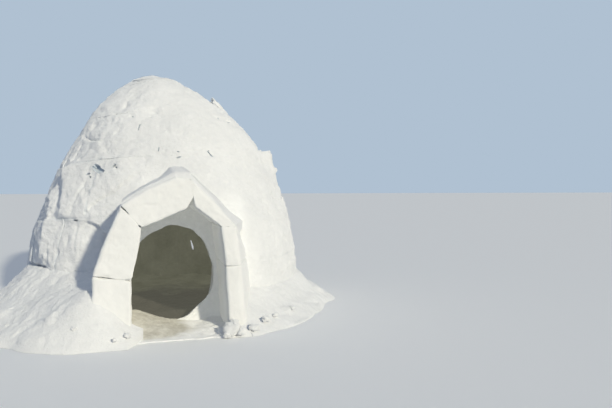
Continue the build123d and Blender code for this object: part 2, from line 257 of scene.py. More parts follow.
# How well the joints are plastered over with snow, by azimuth: the front is smooth, the rest barer
JOINT_COVER = [
    (0, 0.62),
    (20, 0.5),
    (60, 0.45),
    (120, 0.4),
    (185, 0.4),
    (200, 0.55),
    (215, 0.70),
    (228, 0.86),
    (240, 0.95),
    (252, 1.0),
    (300, 1.0),
    (335, 0.9),
    (350, 0.75),
]

# How far the blocks keep their own set and flat faces, by azimuth
OWN_SHARES = [
    (0, 0.7),
    (20, 0.8),
    (90, 0.8),
    (150, 0.8),
    (185, 0.7),
    (205, 0.6),
    (225, 0.20),
    (240, 0.05),
    (255, 0.03),
    (300, 0.03),
    (330, 0.25),
    (345, 0.5),
]

# Ledges along the beds, by azimuth: above 0 the lower course stands proud, below 0 it is set back
BED_LEDGES = [
    (10, 0.014),
    (60, 0.005),
    (150, -0.006),
    (195, 0.008),
    (215, -0.006),
    (240, -0.003),
    (258, 0.0),
    (270, 0.002),
    (300, 0.002),
    (322, 0.004),
    (338, 0.022),
    (346, 0.036),
    (356, 0.024),
]

# Height at which the ledges are strongest, and the spread over which they weaken
LEDGE_HEIGHT = 1.5
LEDGE_SPREAD = 0.25

# How rough the packed snow is, by azimuth
ROUGHNESS = [
    (0, 1.3),
    (60, 1.0),
    (150, 1.1),
    (200, 1.15),
    (235, 1.15),
    (260, 0.95),
    (300, 0.95),
    (325, 1.2),
    (345, 1.5),
]

# Shallow dents and swells on the wall: azimuth, height, half width, half height, depth, turn in
# degrees, and how square the outline is
WALL_DENTS = [
    (231.8, 1.955, 0.030, 0.050, 0.018, 15, 2),
    (241.6, 1.853, 0.036, 0.018, 0.014, -20, 2),
    (257.0, 1.900, 0.040, 0.020, 0.010, 10, 2),
    (307.0, 1.871, 0.034, 0.020, 0.014, -10, 2),
    (315.3, 1.841, 0.030, 0.018, 0.016, 0, 2),
    (345.6, 1.345, 0.070, 0.024, -0.024, 0, 4),
    (236.0, 1.120, 0.230, 0.170, -0.016, 30, 2),
    (219.0, 1.480, 0.120, 0.130, 0.012, 0, 3),
]

# Lines drawn on the wall: kind, three lengths and points (azimuth, height). A groove has half width,
# depth and nothing. A ridge has its reach to the left and right of the line and its height. A step
# has its reach, how far the left side stands proud of the right and nothing. Left is as drawn.
WALL_LINES = [
    (
        "ridge",
        (0.16, 0.20, 0.040),
        [(199.0, 1.200), (204.8, 1.069), (210.3, 0.877), (210.6, 0.656), (210.0, 0.465)],
    ),
    (
        "ridge",
        (0.30, 0.10, 0.052),
        [(207.6, 1.400), (210.4, 1.288), (216.3, 1.120), (218.3, 0.949), (217.6, 0.860)],
    ),
    ("ridge", (0.34, 0.30, 0.010), [(229.2, 1.640), (230.4, 1.500), (227.7, 1.390), (226.1, 1.300)]),
    ("step", (0.09, -0.020, 0), [(201.0, 1.690), (215.3, 1.630), (223.5, 1.618), (229.5, 1.606)]),
    ("groove", (0.011, 0.014, 0), [(204.2, 1.672), (215.3, 1.636), (226.0, 1.612)]),
    ("groove", (0.014, 0.018, 0), [(208.3, 1.605), (207.2, 1.430)]),
    ("groove", (0.009, 0.009, 0), [(213.6, 0.700), (214.4, 0.662), (216.5, 0.440)]),
    ("groove", (0.015, 0.042, 0), [(187.7, 0.440), (206.0, 0.452), (215.3, 0.447)]),
    ("groove", (0.010, 0.009, 0), [(227.7, 1.254), (226.5, 1.130), (224.8, 1.017), (224.2, 0.905)]),
    ("step", (0.10, 0.005, 0), [(224.2, 0.905), (224.8, 1.017), (226.5, 1.130), (227.7, 1.254)]),
    (
        "groove",
        (0.022, 0.009, 0),
        [(252.0, 1.300), (244.8, 1.206), (242.6, 1.131), (237.8, 1.076), (233.5, 1.011), (232.5, 0.918)],
    ),
    (
        "step",
        (0.12, 0.016, 0),
        [(232.5, 0.918), (233.5, 1.011), (237.8, 1.076), (242.6, 1.131), (252.0, 1.300)],
    ),
    ("groove", (0.010, 0.005, 0), [(248.6, 1.872), (248.8, 1.713), (248.6, 1.610)]),
    ("groove", (0.008, 0.008, 0), [(227.8, 0.861), (229.0, 0.700), (230.3, 0.563)]),
    ("groove", (0.008, 0.006, 0), [(230.6, 0.850), (231.1, 0.690), (232.2, 0.573)]),
    ("ridge", (0.10, 0.10, 0.012), [(262.0, 1.440), (252.0, 1.345), (246.0, 1.240), (240.0, 1.150)]),
    ("groove", (0.030, 0.007, 0), [(228.7, 1.608), (239.1, 1.423), (244.2, 1.516), (257.0, 1.581)]),
    ("groove", (0.011, 0.009, 0), [(231.0, 1.953), (228.9, 2.054), (234.4, 2.072), (241.4, 2.047)]),
    (
        "groove",
        (0.012, 0.006, 0),
        [(262.0, 1.470), (271.9, 1.455), (284.4, 1.474), (298.7, 1.486), (313.6, 1.490)],
    ),
    ("groove", (0.030, 0.008, 0), [(284.1, 1.916), (303.0, 1.930), (322.6, 1.949)]),
]
# Share of a line's length over which it rises from nothing at either end
LINE_FADE = 0.14

# The undercut on the left of the porch: the line (azimuth, height) below which the wall is set back,
# and how the brow over it stands out
UNDERCUT_LINE = [
    (226.0, 0.880),
    (228.1, 0.880),
    (231.9, 0.878),
    (236.1, 0.866),
    (239.1, 0.840),
    (241.2, 0.800),
    (243.0, 0.740),
    (246.0, 0.600),
]
UNDERCUT_DEPTH = 0.075
UNDERCUT_SIDES = (230.6, 244.0)
BROW_SHARE = 0.18
BROW_FADE = 0.09

# The shelf on the right, where the lower course stands proud: its depth by azimuth, top and drop
SHELF_DEPTHS = [(331.0, 0.0), (337.0, 0.040), (340.0, 0.092), (350.0, 0.086), (358.0, 0.0)]
SHELF_TOP = 1.526
SHELF_DROP = 0.34

# Cut chinks in the wall: azimuth, height, half length, half width, depth, turn and skew in degrees
WALL_CHINKS = [
    (232.8, 1.336, 0.072, 0.031, 0.034, -33, 30),
    (228.0, 1.292, 0.020, 0.010, 0.030, 20, 0),
    (229.4, 1.268, 0.014, 0.008, 0.026, -30, 0),
    (241.2, 1.362, 0.020, 0.013, 0.036, 50, 10),
    (242.4, 1.348, 0.012, 0.007, 0.024, -20, 0),
    (227.6, 0.884, 0.034, 0.006, 0.050, 2, 0),
    (248.7, 1.740, 0.034, 0.006, 0.034, 84, 0),
    (232.4, 1.950, 0.016, 0.005, 0.024, 70, 10),
    (242.0, 1.850, 0.013, 0.005, 0.022, -35, 0),
    (261.4, 1.526, 0.024, 0.006, 0.034, 88, 0),
    (271.6, 1.456, 0.026, 0.007, 0.040, 20, 15),
    (271.2, 1.500, 0.013, 0.005, 0.020, -10, 0),
    (288.2, 1.488, 0.036, 0.007, 0.040, -58, 10),
    (287.4, 1.520, 0.013, 0.006, 0.026, 30, 0),
    (307.4, 1.871, 0.016, 0.006, 0.026, 60, 0),
    (315.5, 1.838, 0.024, 0.006, 0.024, -20, 0),
    (206.0, 0.452, 0.085, 0.008, 0.060, 3, 0),
]


def line_place(azimuth, height, line):
    """Distance in metres from a line on the wall, the side of it, and the share of its length passed.

    The nearest point is found on each straight stretch, with azimuths as lengths round the radius.
    The side is 1 on the left of the line as drawn and -1 on its right."""
    radius = float(wall_radius(line[0][1]))
    start = line[0][0]
    x = np.radians((azimuth - start + 180) % 360 - 180) * radius
    spots = [(math.radians(a - start) * radius, z) for a, z in line]
    lengths = [math.dist(a, b) for a, b in zip(spots, spots[1:])]
    nearest = np.full(azimuth.shape, 1e3)
    side, passed = np.zeros(azimuth.shape), np.zeros(azimuth.shape)
    for k, ((x0, z0), (x1, z1)) in enumerate(zip(spots, spots[1:])):
        run, rise = x1 - x0, z1 - z0
        share = np.clip(((x - x0) * run + (height - z0) * rise) / (run * run + rise * rise), 0, 1)
        away_x, away_z = x - x0 - share * run, height - z0 - share * rise
        distance = np.hypot(away_x, away_z)
        closer = distance < nearest
        side = np.where(closer, np.sign(run * away_z - rise * away_x), side)
        passed = np.where(closer, (sum(lengths[:k]) + share * lengths[k]) / sum(lengths), passed)
        nearest = np.minimum(nearest, distance)
    return nearest, side, passed


def dent_depth(azimuth, height, middle, half_width, half_height, depth, turn, square):
    """Depth of a dent: a turned oval, or a squarer outline by its power, with a soft edge."""
    x = np.radians((azimuth - middle[0] + 180) % 360 - 180) * wall_radius(height)
    y = height - middle[1]
    c, s = math.cos(math.radians(turn)), math.sin(math.radians(turn))
    across, up = np.abs((c * x + s * y) / half_width), np.abs((c * y - s * x) / half_height)
    return depth * np.exp(-((across**square + up**square) ** 1.5))


def line_shift(azimuth, height, kind, lengths, line):
    """Outward shift of a groove, ridge or step drawn on the wall, fading at its ends."""
    first, second, third = lengths
    distance, side, passed = line_place(azimuth, height, line)
    ends = smooth_step(0, LINE_FADE, passed) * smooth_step(0, LINE_FADE, 1 - passed)
    if kind == "groove":
        return -second * np.exp(-(np.clip(distance / first, 0, 3) ** 2)) * (0.35 + 0.65 * ends)
    if kind == "ridge":
        return third * ends * np.clip(1 - distance / np.where(side > 0, first, second), 0, 1)
    return 0.5 * second * side * ends * np.exp(-distance / first)


def wall_marks(azimuth, height):
    """Outward shift of the dents, lines, undercut, its brow and the shelf at places on the wall."""
    total = np.zeros(azimuth.shape)
    for middle_azimuth, middle_height, *shape in WALL_DENTS:
        total -= dent_depth(azimuth, height, (middle_azimuth, middle_height), *shape)
    for kind, lengths, line in WALL_LINES:
        total += line_shift(azimuth, height, kind, lengths, line)
    top = read_table(UNDERCUT_LINE, azimuth)
    turned = np.clip((azimuth - UNDERCUT_SIDES[0]) / (UNDERCUT_SIDES[1] - UNDERCUT_SIDES[0]), 0, 1)
    patch = smooth_step(-0.006, 0.006, top - height) * smooth_step(0.42, 0.66, height)
    patch *= turned * smooth_step(252.0, 246.0, azimuth)
    brow = np.exp(-np.clip(height - top, 0, None) / BROW_FADE) * (height >= top)
    brow *= smooth_step(226.0, 231.0, azimuth) * smooth_step(247.0, 242.0, azimuth)
    ragged = SHELF_TOP + 0.010 * np.sin(azimuth * 1.9)
    shelf = read_table(SHELF_DEPTHS, azimuth) * np.clip(1 - (ragged - height) / SHELF_DROP, 0, 1)
    shelf *= smooth_step(ragged + 0.022, ragged - 0.014, height)
    return total - UNDERCUT_DEPTH * patch + BROW_SHARE * UNDERCUT_DEPTH * brow + shelf


def snow_relief(points, azimuth, height, size):
    """Outward shift of the packed snow: broad swells, hand-sized lumps, small crumbs and smears.

    Each part is layered noise of the place in space, so that it runs on from block to block. Where a
    noise passes a limit the face is chipped, and knots of snow are heaped high on the left."""
    rough = around(azimuth, ROUGHNESS)
    swell = size.swell * noise("swell", points)
    lumps = size.lumps * rough * noise("lumps", points)
    crumbs = size.crumbs * rough * noise("crumbs", points * (1, 1, 1.6))
    smears = 0.5 * size.lumps * noise("smears", points * (1, 1, 3.2))
    chips = -0.9 * size.lumps * rough * smooth_step(0.55, 1.05, noise("bites", points))
    from_heap = np.hypot(np.radians(azimuth - 211) * 1.1, (height - 1.77) * 0.8)
    knots = smooth_step(0.16, 0.0, from_heap) * 1.6 * size.lumps * noise("knots", points)
    return swell + lumps + crumbs + smears + chips + knots


# The corner between the wall and the porch's right side: its x by height, how far the snow in it
# stands out and how far it reaches
CHEEK_EDGES = [(0.0, 0.50), (0.55, 0.46), (0.86, 0.42), (1.06, 0.24), (1.25, 0.06)]
CHEEK_HEIGHT = 0.055
CHEEK_REACH = 0.20


def cheek_swell(points):
    """Snow that fills the corner between the wall and the flaring right side of the porch."""
    x, y, z = np.moveaxis(points, -1, 0)
    share = np.clip((PORCH_FRONT + y) / (PORCH_FRONT - PORCH_BACK), 0, 1)
    beyond = x - (read_table(CHEEK_EDGES, z) + RIGHT_FLARE * share)
    front = smooth_step(-0.2, -0.7, y) * smooth_step(-0.25, 0.0, beyond)
    low = 1 - smooth_step(1.1, 1.45, z)
    return CHEEK_HEIGHT * bell(np.clip(beyond, 0, None), CHEEK_REACH) * front * low


def rim_point(turn):
    """Point of the doorway's outline at an angle about its middle: an oval, squarer at its lower left.

    The reach along an angle is the oval's, with the power that holds in that quarter."""
    across, up = np.cos(turn), np.sin(turn)
    reach = np.where(across < 0, DOORWAY_LEFT, DOORWAY_RIGHT)
    power = np.where((across < 0) & (up < 0), DOORWAY_SQUARENESS, 2.0)
    length = (np.abs(across) ** power + np.abs(up) ** power) ** (-1 / power)
    return reach * length * across, DOORWAY_TALL * length * up


def doorway_roll(points, size):
    """Roll of the wall's face into the doorway: deepest on the oval's edge, gone a hand away."""
    x, z = points[..., 0] - DOORWAY[0], points[..., 2] - DOORWAY[1]
    turn = np.arctan2(z / DOORWAY_TALL, x / np.where(x < 0, DOORWAY_LEFT, DOORWAY_RIGHT))
    away = np.abs(np.hypot(x, z) - np.hypot(*rim_point(turn)))
    return -size.rim_roll * bell(away, ROLL_WIDTH) * (points[..., 1] < -0.8)


# How many times finer a block's outer face is than its inner face
INNER_STEP = 3


def solid_between(outer, inner, step=1):
    """Closed form between two grids over the same parameters, the outer one step times finer.

    Returns points, faces grouped by their number of corners, and whether each group lies inside."""
    outer_count = outer.shape[0] * outer.shape[1]
    o = np.arange(outer_count).reshape(outer.shape[:2])
    i = outer_count + np.arange(inner.shape[0] * inner.shape[1]).reshape(inner.shape[:2])

    def quads(grid):
        return np.stack([grid[:-1, :-1], grid[1:, :-1], grid[1:, 1:], grid[:-1, 1:]], -1).reshape(-1, 4)

    def side(o_line, i_line):
        rows = np.arange(len(i_line) - 1) * step
        edge = np.stack([o_line[rows + k] for k in range(step + 1)], -1)
        return np.concatenate([edge, i_line[1:, None], i_line[:-1, None]], -1)

    sides = np.concatenate([
        side(o[:, -1], i[:, -1]),
        side(o[:, 0], i[:, 0])[:, ::-1],
        side(o[0], i[0]),
        side(o[-1], i[-1])[:, ::-1],
    ])
    points = np.concatenate([outer.reshape(-1, 3), inner.reshape(-1, 3)])
    return points, [(quads(o), 0), (quads(i)[:, ::-1], 1), (sides, 0)]


def closed_tube(rings, start, end):
    """Closed form of rings of points, each end drawn together in one point."""
    count, around_count = rings.shape[:2]
    r = np.arange(count * around_count).reshape(count, around_count)
    ahead = np.roll(r, -1, axis=1)
    body = np.stack([r[:-1], ahead[:-1], ahead[1:], r[1:]], -1).reshape(-1, 4)
    first = np.stack([np.full(around_count, count * around_count), ahead[0], r[0]], -1)
    last = np.stack([np.full(around_count, count * around_count + 1), r[-1], ahead[-1]], -1)
    points = np.concatenate([rings.reshape(-1, 3), start[None], end[None]])
    return points, [(body, 0), (np.concatenate([first, last]), 0)]


def face_outwards(points, groups):
    """The same faces, all turned over if they enclose a negative volume."""
    volume = 0.0
    for faces, _ in groups:
        for k in range(1, faces.shape[1] - 1):
            a, b, c = points[faces[:, 0]], points[faces[:, k]], points[faces[:, k + 1]]
            volume += np.einsum("ij,ij->", a, np.cross(b, c))
    if volume < 0:
        groups = [(faces[:, ::-1], inside) for faces, inside in groups]
    return groups


# Angles between two faces, in degrees, past which the edge between them is shaded sharp
BLOCK_ARRIS = 55
BANK_ARRIS = 75


def mesh_object(name, forms, materials, hollow=None, deep=None):
    """An object of closed forms.

    Hollow and the painted light zone are lists of values at the forms' points, which the finishes
    read: the joints' depth, where painted shade is laid, or the threshold's fresh snow, and where
    painted light or painted shade is laid."""
    offset = 0
    all_points, corners, sizes, inside = [], [], [], []
    for points, groups in forms:
        for faces, within in face_outwards(points, groups):
            corners.append((faces + offset).ravel())
            sizes.append(np.full(len(faces), faces.shape[1]))
            inside.append(np.full(len(faces), within))
        all_points.append(points)
        offset += len(points)
    co = np.concatenate(all_points)
    corners, sizes, inside = np.concatenate(corners), np.concatenate(sizes), np.concatenate(inside)
    mesh = bpy.data.meshes.new(name)
    mesh.vertices.add(len(co))
    mesh.vertices.foreach_set("co", co.astype(np.float32).ravel())
    mesh.loops.add(len(corners))
    mesh.loops.foreach_set("vertex_index", corners.astype(np.int32))
    mesh.polygons.add(len(sizes))
    starts = np.concatenate([[0], np.cumsum(sizes)[:-1]])
    mesh.polygons.foreach_set("loop_start", starts.astype(np.int32))
    mesh.polygons.foreach_set("material_index", np.minimum(inside, len(materials) - 1).astype(np.int32))
    for layer_name, values in (("hollow", hollow), ("deep", deep)):
        if values is not None:
            layer = mesh.attributes.new(layer_name, "FLOAT", "POINT")
            layer.data.foreach_set("value", np.concatenate(values).astype(np.float32))
    mesh.update(calc_edges=True)
    mesh.validate()
    for material in materials:
        mesh.materials.append(material)
    piece = bpy.data.objects.new(name, mesh)
    bpy.context.scene.collection.objects.link(piece)
    return piece


def make_piece(node, forms, materials, hollow=None, deep=None, sharp=BLOCK_ARRIS):
    """One piece from closed forms, put in its node's place."""
    finish_piece(mesh_object(node + "_snow", forms, materials, hollow, deep), node, sharp)


def boxes_meet(first, second):
    """Whether the boxes round two sets of points meet."""
    return bool(np.all(first.min(0) < second.max(0)) and np.all(second.min(0) < first.max(0)))


def finish_piece(piece, node, sharp=BLOCK_ARRIS):
    """Smooth shading that breaks at sharp edges. The piece replaces its node and rides on the root."""
    piece.data.shade_smooth()
    piece.data.set_sharp_from_angle(angle=math.radians(sharp))
    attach(piece, "root")
    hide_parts(node)


def cut_away(piece, cutters):
    """Takes closed cutters out of a piece for good."""
    for cutter in cutters:
        change = piece.modifiers.new("cut", "BOOLEAN")
        change.operation = "DIFFERENCE"
        change.solver = "EXACT"
        change.material_mode = "TRANSFER"
        change.object = cutter
    bpy.context.view_layer.update()
    evaluated = piece.evaluated_get(bpy.context.evaluated_depsgraph_get())
    mesh = bpy.data.meshes.new_from_object(evaluated)
    old = piece.data
    piece.modifiers.clear()
    piece.data = mesh
    bpy.data.meshes.remove(old)


def side_of(azimuth, sides):
    """Name of the sector that an azimuth lies in, sectors centred on right, back, left and front."""
    share = 360.0 / len(sides)
    return sides[int(((azimuth + share / 2) % 360) // share)]


QUARTERS = ["right", "back", "left", "front"]
TURN_SIDES = [QUARTERS, QUARTERS, QUARTERS, QUARTERS, ["right", "left"], ["crown"]]


def wall_blocks():
    """The blocks of the spiral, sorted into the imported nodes: node name to (first, last) stations."""
    courses = {}
    for first, last in zip(BLOCK_JOINTS, BLOCK_JOINTS[1:]):
        middle = (first + last) / 2
        turn = int(middle // STATIONS)
        side = side_of(middle * STATION_ANGLE % 360, TURN_SIDES[turn])
        courses.setdefault(f"turn_{turn + 1}_{side}_blocks", []).append((first, last))
    return courses


def eased_shares(count):
    """Shares from 0 to 1 in a number of steps, a little closer together at both ends."""
    even = np.linspace(0, 1, count + 1)
    return even - 0.3 * np.sin(2 * np.pi * even) / (2 * np.pi)


def block_grid(first, last, size):
    """Places on a block's outer face between its beds and end joints, and the block's measures.

    Holds the shares along and up it, the lower bed, the arc and azimuth of each place, its distance
    from the nearest joint, and the block's width, height and sagitta."""
    middle = (first + last) / 2
    under, over = (float(bed_arc(place, place)) for place in (middle - STATIONS, middle))
    middle_point, _ = wall_surface(middle * STATION_ANGLE, (under + over) / 2)
    radius = math.hypot(middle_point[0], middle_point[1])
    half_angle = math.radians((last - first) * STATION_ANGLE / 2)
    width, tall = 2 * half_angle * radius, over - under
    u = eased_shares(INNER_STEP * max(3, round(width / size.cell / INNER_STEP)))[:, None]
    v = eased_shares(INNER_STEP * max(2, round(tall / size.cell / INNER_STEP)))[None, :]
    gap = size.joint_gap / 2
    station = first + gap / width * (last - first) + (last - first) * (1 - 2 * gap / width) * u
    low = bed_arc(station - STATIONS, middle - STATIONS)
    high = bed_arc(station, middle)
    low = low + np.where(low > 0, gap, 0)
    arc = low + (high - gap - low) * v
    from_bed = np.where((low <= 0) & (v < 0.5), 1.0, np.minimum(v, 1 - v) * (high - low))
    return SimpleNamespace(
        u=u,
        v=v,
        low=low,
        arc=arc,
        azimuth=(station * STATION_ANGLE % 360) + np.zeros_like(arc),
        nearest=np.minimum(np.minimum(u, 1 - u) * width, from_bed),
        width=width,
        tall=tall,
        sagitta=radius * (1 - math.cos(half_angle)),
    )


def joint_groove(block, point, size):
    """Share of a joint's worn depth at each place: none where snow is plastered over the joint."""
    cover = around(block.azimuth, JOINT_COVER) + 0.35 * smooth_step(1.5, 1.95, point[..., 2])
    cover = np.clip(cover + 0.28 * noise("joint cover", point), 0, 1)
    wear = 0.75 + 0.5 * noise("joint wear", point)
    width = size.groove_width * np.clip(wear, 0.4, 1.6)
    return (1 - cover) * np.clip(wear, 0.1, 2) * bell(block.nearest, width)


def own_shape(block, size, random):
    """A block's own set, and the shift of its face by set, tilt, pillow and flattened curve."""
    own_set, tilt_u, tilt_v = random.uniform(-1, 1, 3) * (size.block_set, size.block_tilt, size.block_tilt)
    pillow = 0.4 * size.block_set * (1 - bell(block.nearest, 0.06))
    flat = -min(0.55 * block.sagitta, 0.016) * (1 - (2 * block.u - 1) ** 2)
    tilt = tilt_u * (block.u - 0.5) * block.width
    return own_set, own_set + tilt + tilt_v * (block.v - 0.5) * block.tall + pillow + flat


def bed_lips(block, point):
    """Shift along the beds, where one course stands proud of the next, strongest at one height."""
    height = point[..., 2]
    ledge = around(block.azimuth, BED_LEDGES) * (0.8 + 0.5 * noise("ledges", point))
    ledge = ledge * (0.35 + 0.65 * bell(height - LEDGE_HEIGHT, LEDGE_SPREAD)) * smooth_step(0.5, 0.9, height)
    upper = np.exp(-(1 - block.v) * block.tall / 0.07)
    return ledge * (upper - np.where(block.low > 0, np.exp(-block.v * block.tall / 0.10), 0))


def block_form(first, last, size, random):
    """One block of the wall: outer and inner faces between its beds and end joints.

    The outer face follows the dome, shifted along its normal by the snow's relief, the marks and,
    where the joints are bare, by the block's own set, tilt, pillowed face and worn arrises. Also
    returns how deep in a joint each point is, where the finish lays painted shade, and how much
    painted passage light each point gets where the porch shelters it."""
    block = block_grid(first, last, size)
    point, normal = wall_surface(block.azimuth, block.arc)
    height = point[..., 2]
    groove = joint_groove(block, point, size)
    own_set, own = own_shape(block, size, random)
    own = around(block.azimuth, OWN_SHARES) * (1 - 0.75 * smooth_step(1.55, 1.95, height)) * own
    own = own + bed_lips(block, point) - size.groove_depth * groove
    shift = snow_relief(point, block.azimuth, height, size) + wall_marks(block.azimuth, height)
    shift += own + cheek_swell(point) + doorway_roll(point, size)
    outer = point + normal * shift[..., None]
    outer[..., 2] = np.maximum(outer[..., 2], 0.0)

    coarse = (slice(None, None, INNER_STEP),) * 2
    inward = 0.6 * size.lumps * noise("inner face", point[coarse]) + 0.5 * own_set
    inward -= 0.012 * bell(block.nearest[coarse], 0.02)
    depth = wall_thickness(block.arc[coarse]) + inward
    inner = point[coarse] - normal[coarse] * depth[..., None]
    inner[..., 2] = np.maximum(inner[..., 2], 0.0)
    x, y, z = np.moveaxis(outer, -1, 0)
    # Painted passage light: wall faces inside the porch get an emission in place of the daylight bounced into
    # the passage
    painted_passage_light = smooth_step(-0.47, -0.40, x) * smooth_step(0.66, 0.56, x) * smooth_step(1.16, 1.0, z)
    painted_passage_light = painted_passage_light * (y < -0.9)
    none_within = np.zeros(depth.size)
    # The joint's depth, where the finish lays painted shade
    hollow = np.concatenate([np.clip(groove, 0, 1).ravel(), none_within])
    return solid_between(outer, inner, INNER_STEP), hollow, np.concatenate([painted_passage_light.ravel(), none_within])


def king_form(size):
    """The king block: the crown's ring drawn together to the leaning top, over a flat underside.

    Each ring is the crown's edge shrunk about the leaning axis by the profile's radius."""
    azimuth = np.arange(0, 360, 4.0)
    king_arc = CROWN_ARC + size.joint_gap / 2
    edge, edge_normal = wall_surface(azimuth, np.full(azimuth.shape, king_arc))
    shares = np.linspace(0, 1, 26)[:-1]
    t = np.interp(king_arc + (PROFILE_LENGTH - king_arc) * shares, PROFILE_ARCS, PROFILE_ANGLES)
    radius, height = DOME_RADIUS * np.cos(t) ** DOME_FULLNESS, DOME_HEIGHT * np.sin(t)
    shrink = radius / radius[0]
    x = shrink[:, None] * (edge[None, :, 0] + lean_at(edge[0, 2])) - lean_at(height)[:, None]
    y = shrink[:, None] * edge[None, :, 1]
    top = np.stack([x, y, height[:, None] + np.zeros_like(x)], -1)
    inner_edge = edge - edge_normal * float(wall_thickness(king_arc))
    sides = np.stack([inner_edge + (edge - inner_edge) * share for share in (0.0, 0.35, 0.7)])
    rings = np.concatenate([sides, top])
    bearing = np.degrees(np.arctan2(rings[..., 1], rings[..., 0] + CROWN_LEAN)) % 360
    shift = snow_relief(rings, bearing, rings[..., 2], size)
    shift[:3] *= 0.2
    shift += 0.006 * bell(np.hypot(rings[..., 0] + CROWN_LEAN, rings[..., 1]), 0.12)
    rings = rings + ring_normals(rings) * shift[..., None]
    apex = np.append(rings[-1, :, :2].mean(0), rings[-1, :, 2].mean() + 0.002)
    return closed_tube(rings, inner_edge.mean(0), apex)


def ring_normals(rings):
    """Outward normals of closed rings: the cross product of the steps round a ring and along them."""
    around_step = np.roll(rings, -1, axis=1) - np.roll(rings, 1, axis=1)
    along_step = np.gradient(rings, axis=0)
    normals = np.cross(around_step, along_step)
    length = np.linalg.norm(normals, axis=-1, keepdims=True)
    return normals / np.maximum(length, 1e-9)


# Where the doorway's cutter starts and ends, and where its lower edge drops below the ground
CUT_FRONT = -1.70
CUT_BACK = -0.86
SILL_START = -1.372
SILL_END = -1.335


def oval_cutter():
    """Cutter for the doorway: an uneven oval carried straight back, a little wider further in.

    Behind the threshold's sill its lower edge drops below the ground."""
    turn = np.linspace(0, 2 * np.pi, 160, endpoint=False)[None, :]
    depth = np.linspace(CUT_FRONT, CUT_BACK, 56)[:, None]
    place = np.stack([np.cos(turn) + 0 * depth, depth * 1.8 + 0 * turn, np.sin(turn) + 0 * depth], -1)
    uneven = 1 + 0.026 * noise("doorway", place) + 0.016 * noise("doorway chips", place)
    lower_right = bell(turn - 5.35, 0.33)
    uneven = uneven - 0.07 * lower_right + 0.05 * smooth_step(-1.30, -1.10, depth)
    rim_x, rim_z = rim_point(turn)
    x = DOORWAY[0] + rim_x * uneven
    opened = smooth_step(SILL_START, SILL_END, depth)
    z = DOORWAY[1] + rim_z * uneven * (1 + 0.35 * opened * (rim_z < 0))
    z = np.maximum(z, 0.024 - 0.060 * opened)
    rings = np.stack([x, depth + 0 * turn, z], -1)
    return closed_tube(rings, rings[0].mean(0), rings[-1].mean(0))


# Rings of a chink's cutter: way in from the wall's face, share of the chink's depth and scale
CHINK_RINGS = [(-0.10, 0, 1.05), (-0.03, 0, 1.0), (0.004, 0.6, 0.96), (0.006, 1, 0.88)]


def chink_cutter(azimuth, height, half_length, half_width, depth, turn, skew):
    """Cutter for a chink: an uneven slanted oblong sunk into the wall, deeper towards one end.

    Its outline is a rounded oblong, wavering with the angle, whose far side is moved along by the
    skew. It is turned and laid on the wall about its middle."""
    middle, normal = wall_surface(np.array(float(azimuth)), arc_at(height))
    around_step = np.array([-math.sin(math.radians(azimuth)), math.cos(math.radians(azimuth)), 0.0])
    up_step = np.cross(normal, around_step)
    up_step *= np.sign(up_step[2])
    angle = np.linspace(0, 2 * np.pi, 28, endpoint=False)
    reach = (np.abs(np.cos(angle)) ** 5 + np.abs(np.sin(angle)) ** 5) ** -0.2
    wobble = 1 + 0.10 * np.sin(3 * angle + azimuth) + 0.06 * np.sin(7 * angle + 2 * azimuth)
    p, q = half_length * reach * np.cos(angle) * wobble, half_width * reach * np.sin(angle) * wobble
    p = p + q * math.tan(math.radians(skew))
    c, s = math.cos(math.radians(turn)), math.sin(math.radians(turn))
    along, up = c * p - s * q, s * p + c * q
    wedge = 0.55 - 0.45 * p / np.abs(p).max()
    rings = []
    for inwards, share, scale in CHINK_RINGS:
        place = middle - (inwards + depth * share * wedge[:, None]) * normal
        rings.append(place + scale * (along[:, None] * around_step + up[:, None] * up_step))
    rings = np.stack(rings)
    return closed_tube(rings, rings[0].mean(0), rings[-1].mean(0))


def arc_at(height):
    """Length up the profile at a height."""
    return np.interp(height, PROFILE_HEIGHTS, PROFILE_ARCS)


# Slits of daylight in the rear wall: the middle on its inner face, the way through, half height, half
# width and lean to the side
LIGHT_SLITS = [((0.350, 1.090, 0.443), (0.098, 0.991, -0.093), 0.064, 0.010, 0.24)]


def slit_cutter(middle, way, half_height, half_width, lean):
    """Cutter for a slit: a thin leaning oval carried through the wall along the given way."""
    turn = np.linspace(0, 2 * np.pi, 20, endpoint=False)[None, :]
    reach = np.linspace(-0.06, 0.45, 8)[:, None]
    wobble = 1 + 0.25 * np.sin(3 * turn + 0.7)
    x = half_width * np.cos(turn) * wobble + lean * half_height * np.sin(turn)
    z = half_height * np.sin(turn)
    rings = np.stack([
        middle[0] + way[0] * reach + x,
        middle[1] + way[1] * reach + 0 * turn,
        middle[2] + way[2] * reach - z,
    ], -1)
    return closed_tube(rings, rings[0].mean(0), rings[-1].mean(0))


def cutter_object(form, finish):
    """A closed form as a helper object, which leaves its finish on the faces that it cuts."""
    points, groups = form
    mesh = bpy.data.meshes.new("cutter")
    faces = [tuple(face) for group, _ in face_outwards(points, groups) for face in group.tolist()]
    mesh.from_pydata(points.tolist(), [], faces)
    mesh.update()
    mesh.materials.append(finish_named(finish))
    helper = bpy.data.objects.new("cutter", mesh)
    bpy.context.scene.collection.objects.link(helper)
    return helper


def remove_cutters(cutters):
    """Takes the helper objects out again once they have cut."""
    for cutter in cutters:
        mesh = cutter.data
        bpy.data.objects.remove(cutter)
        bpy.data.meshes.remove(mesh)


# Lengths over which a slab's outline turns a corner, and over which its edge radius changes
CORNER_BLUR = 0.010
RADIUS_BLUR = 0.022


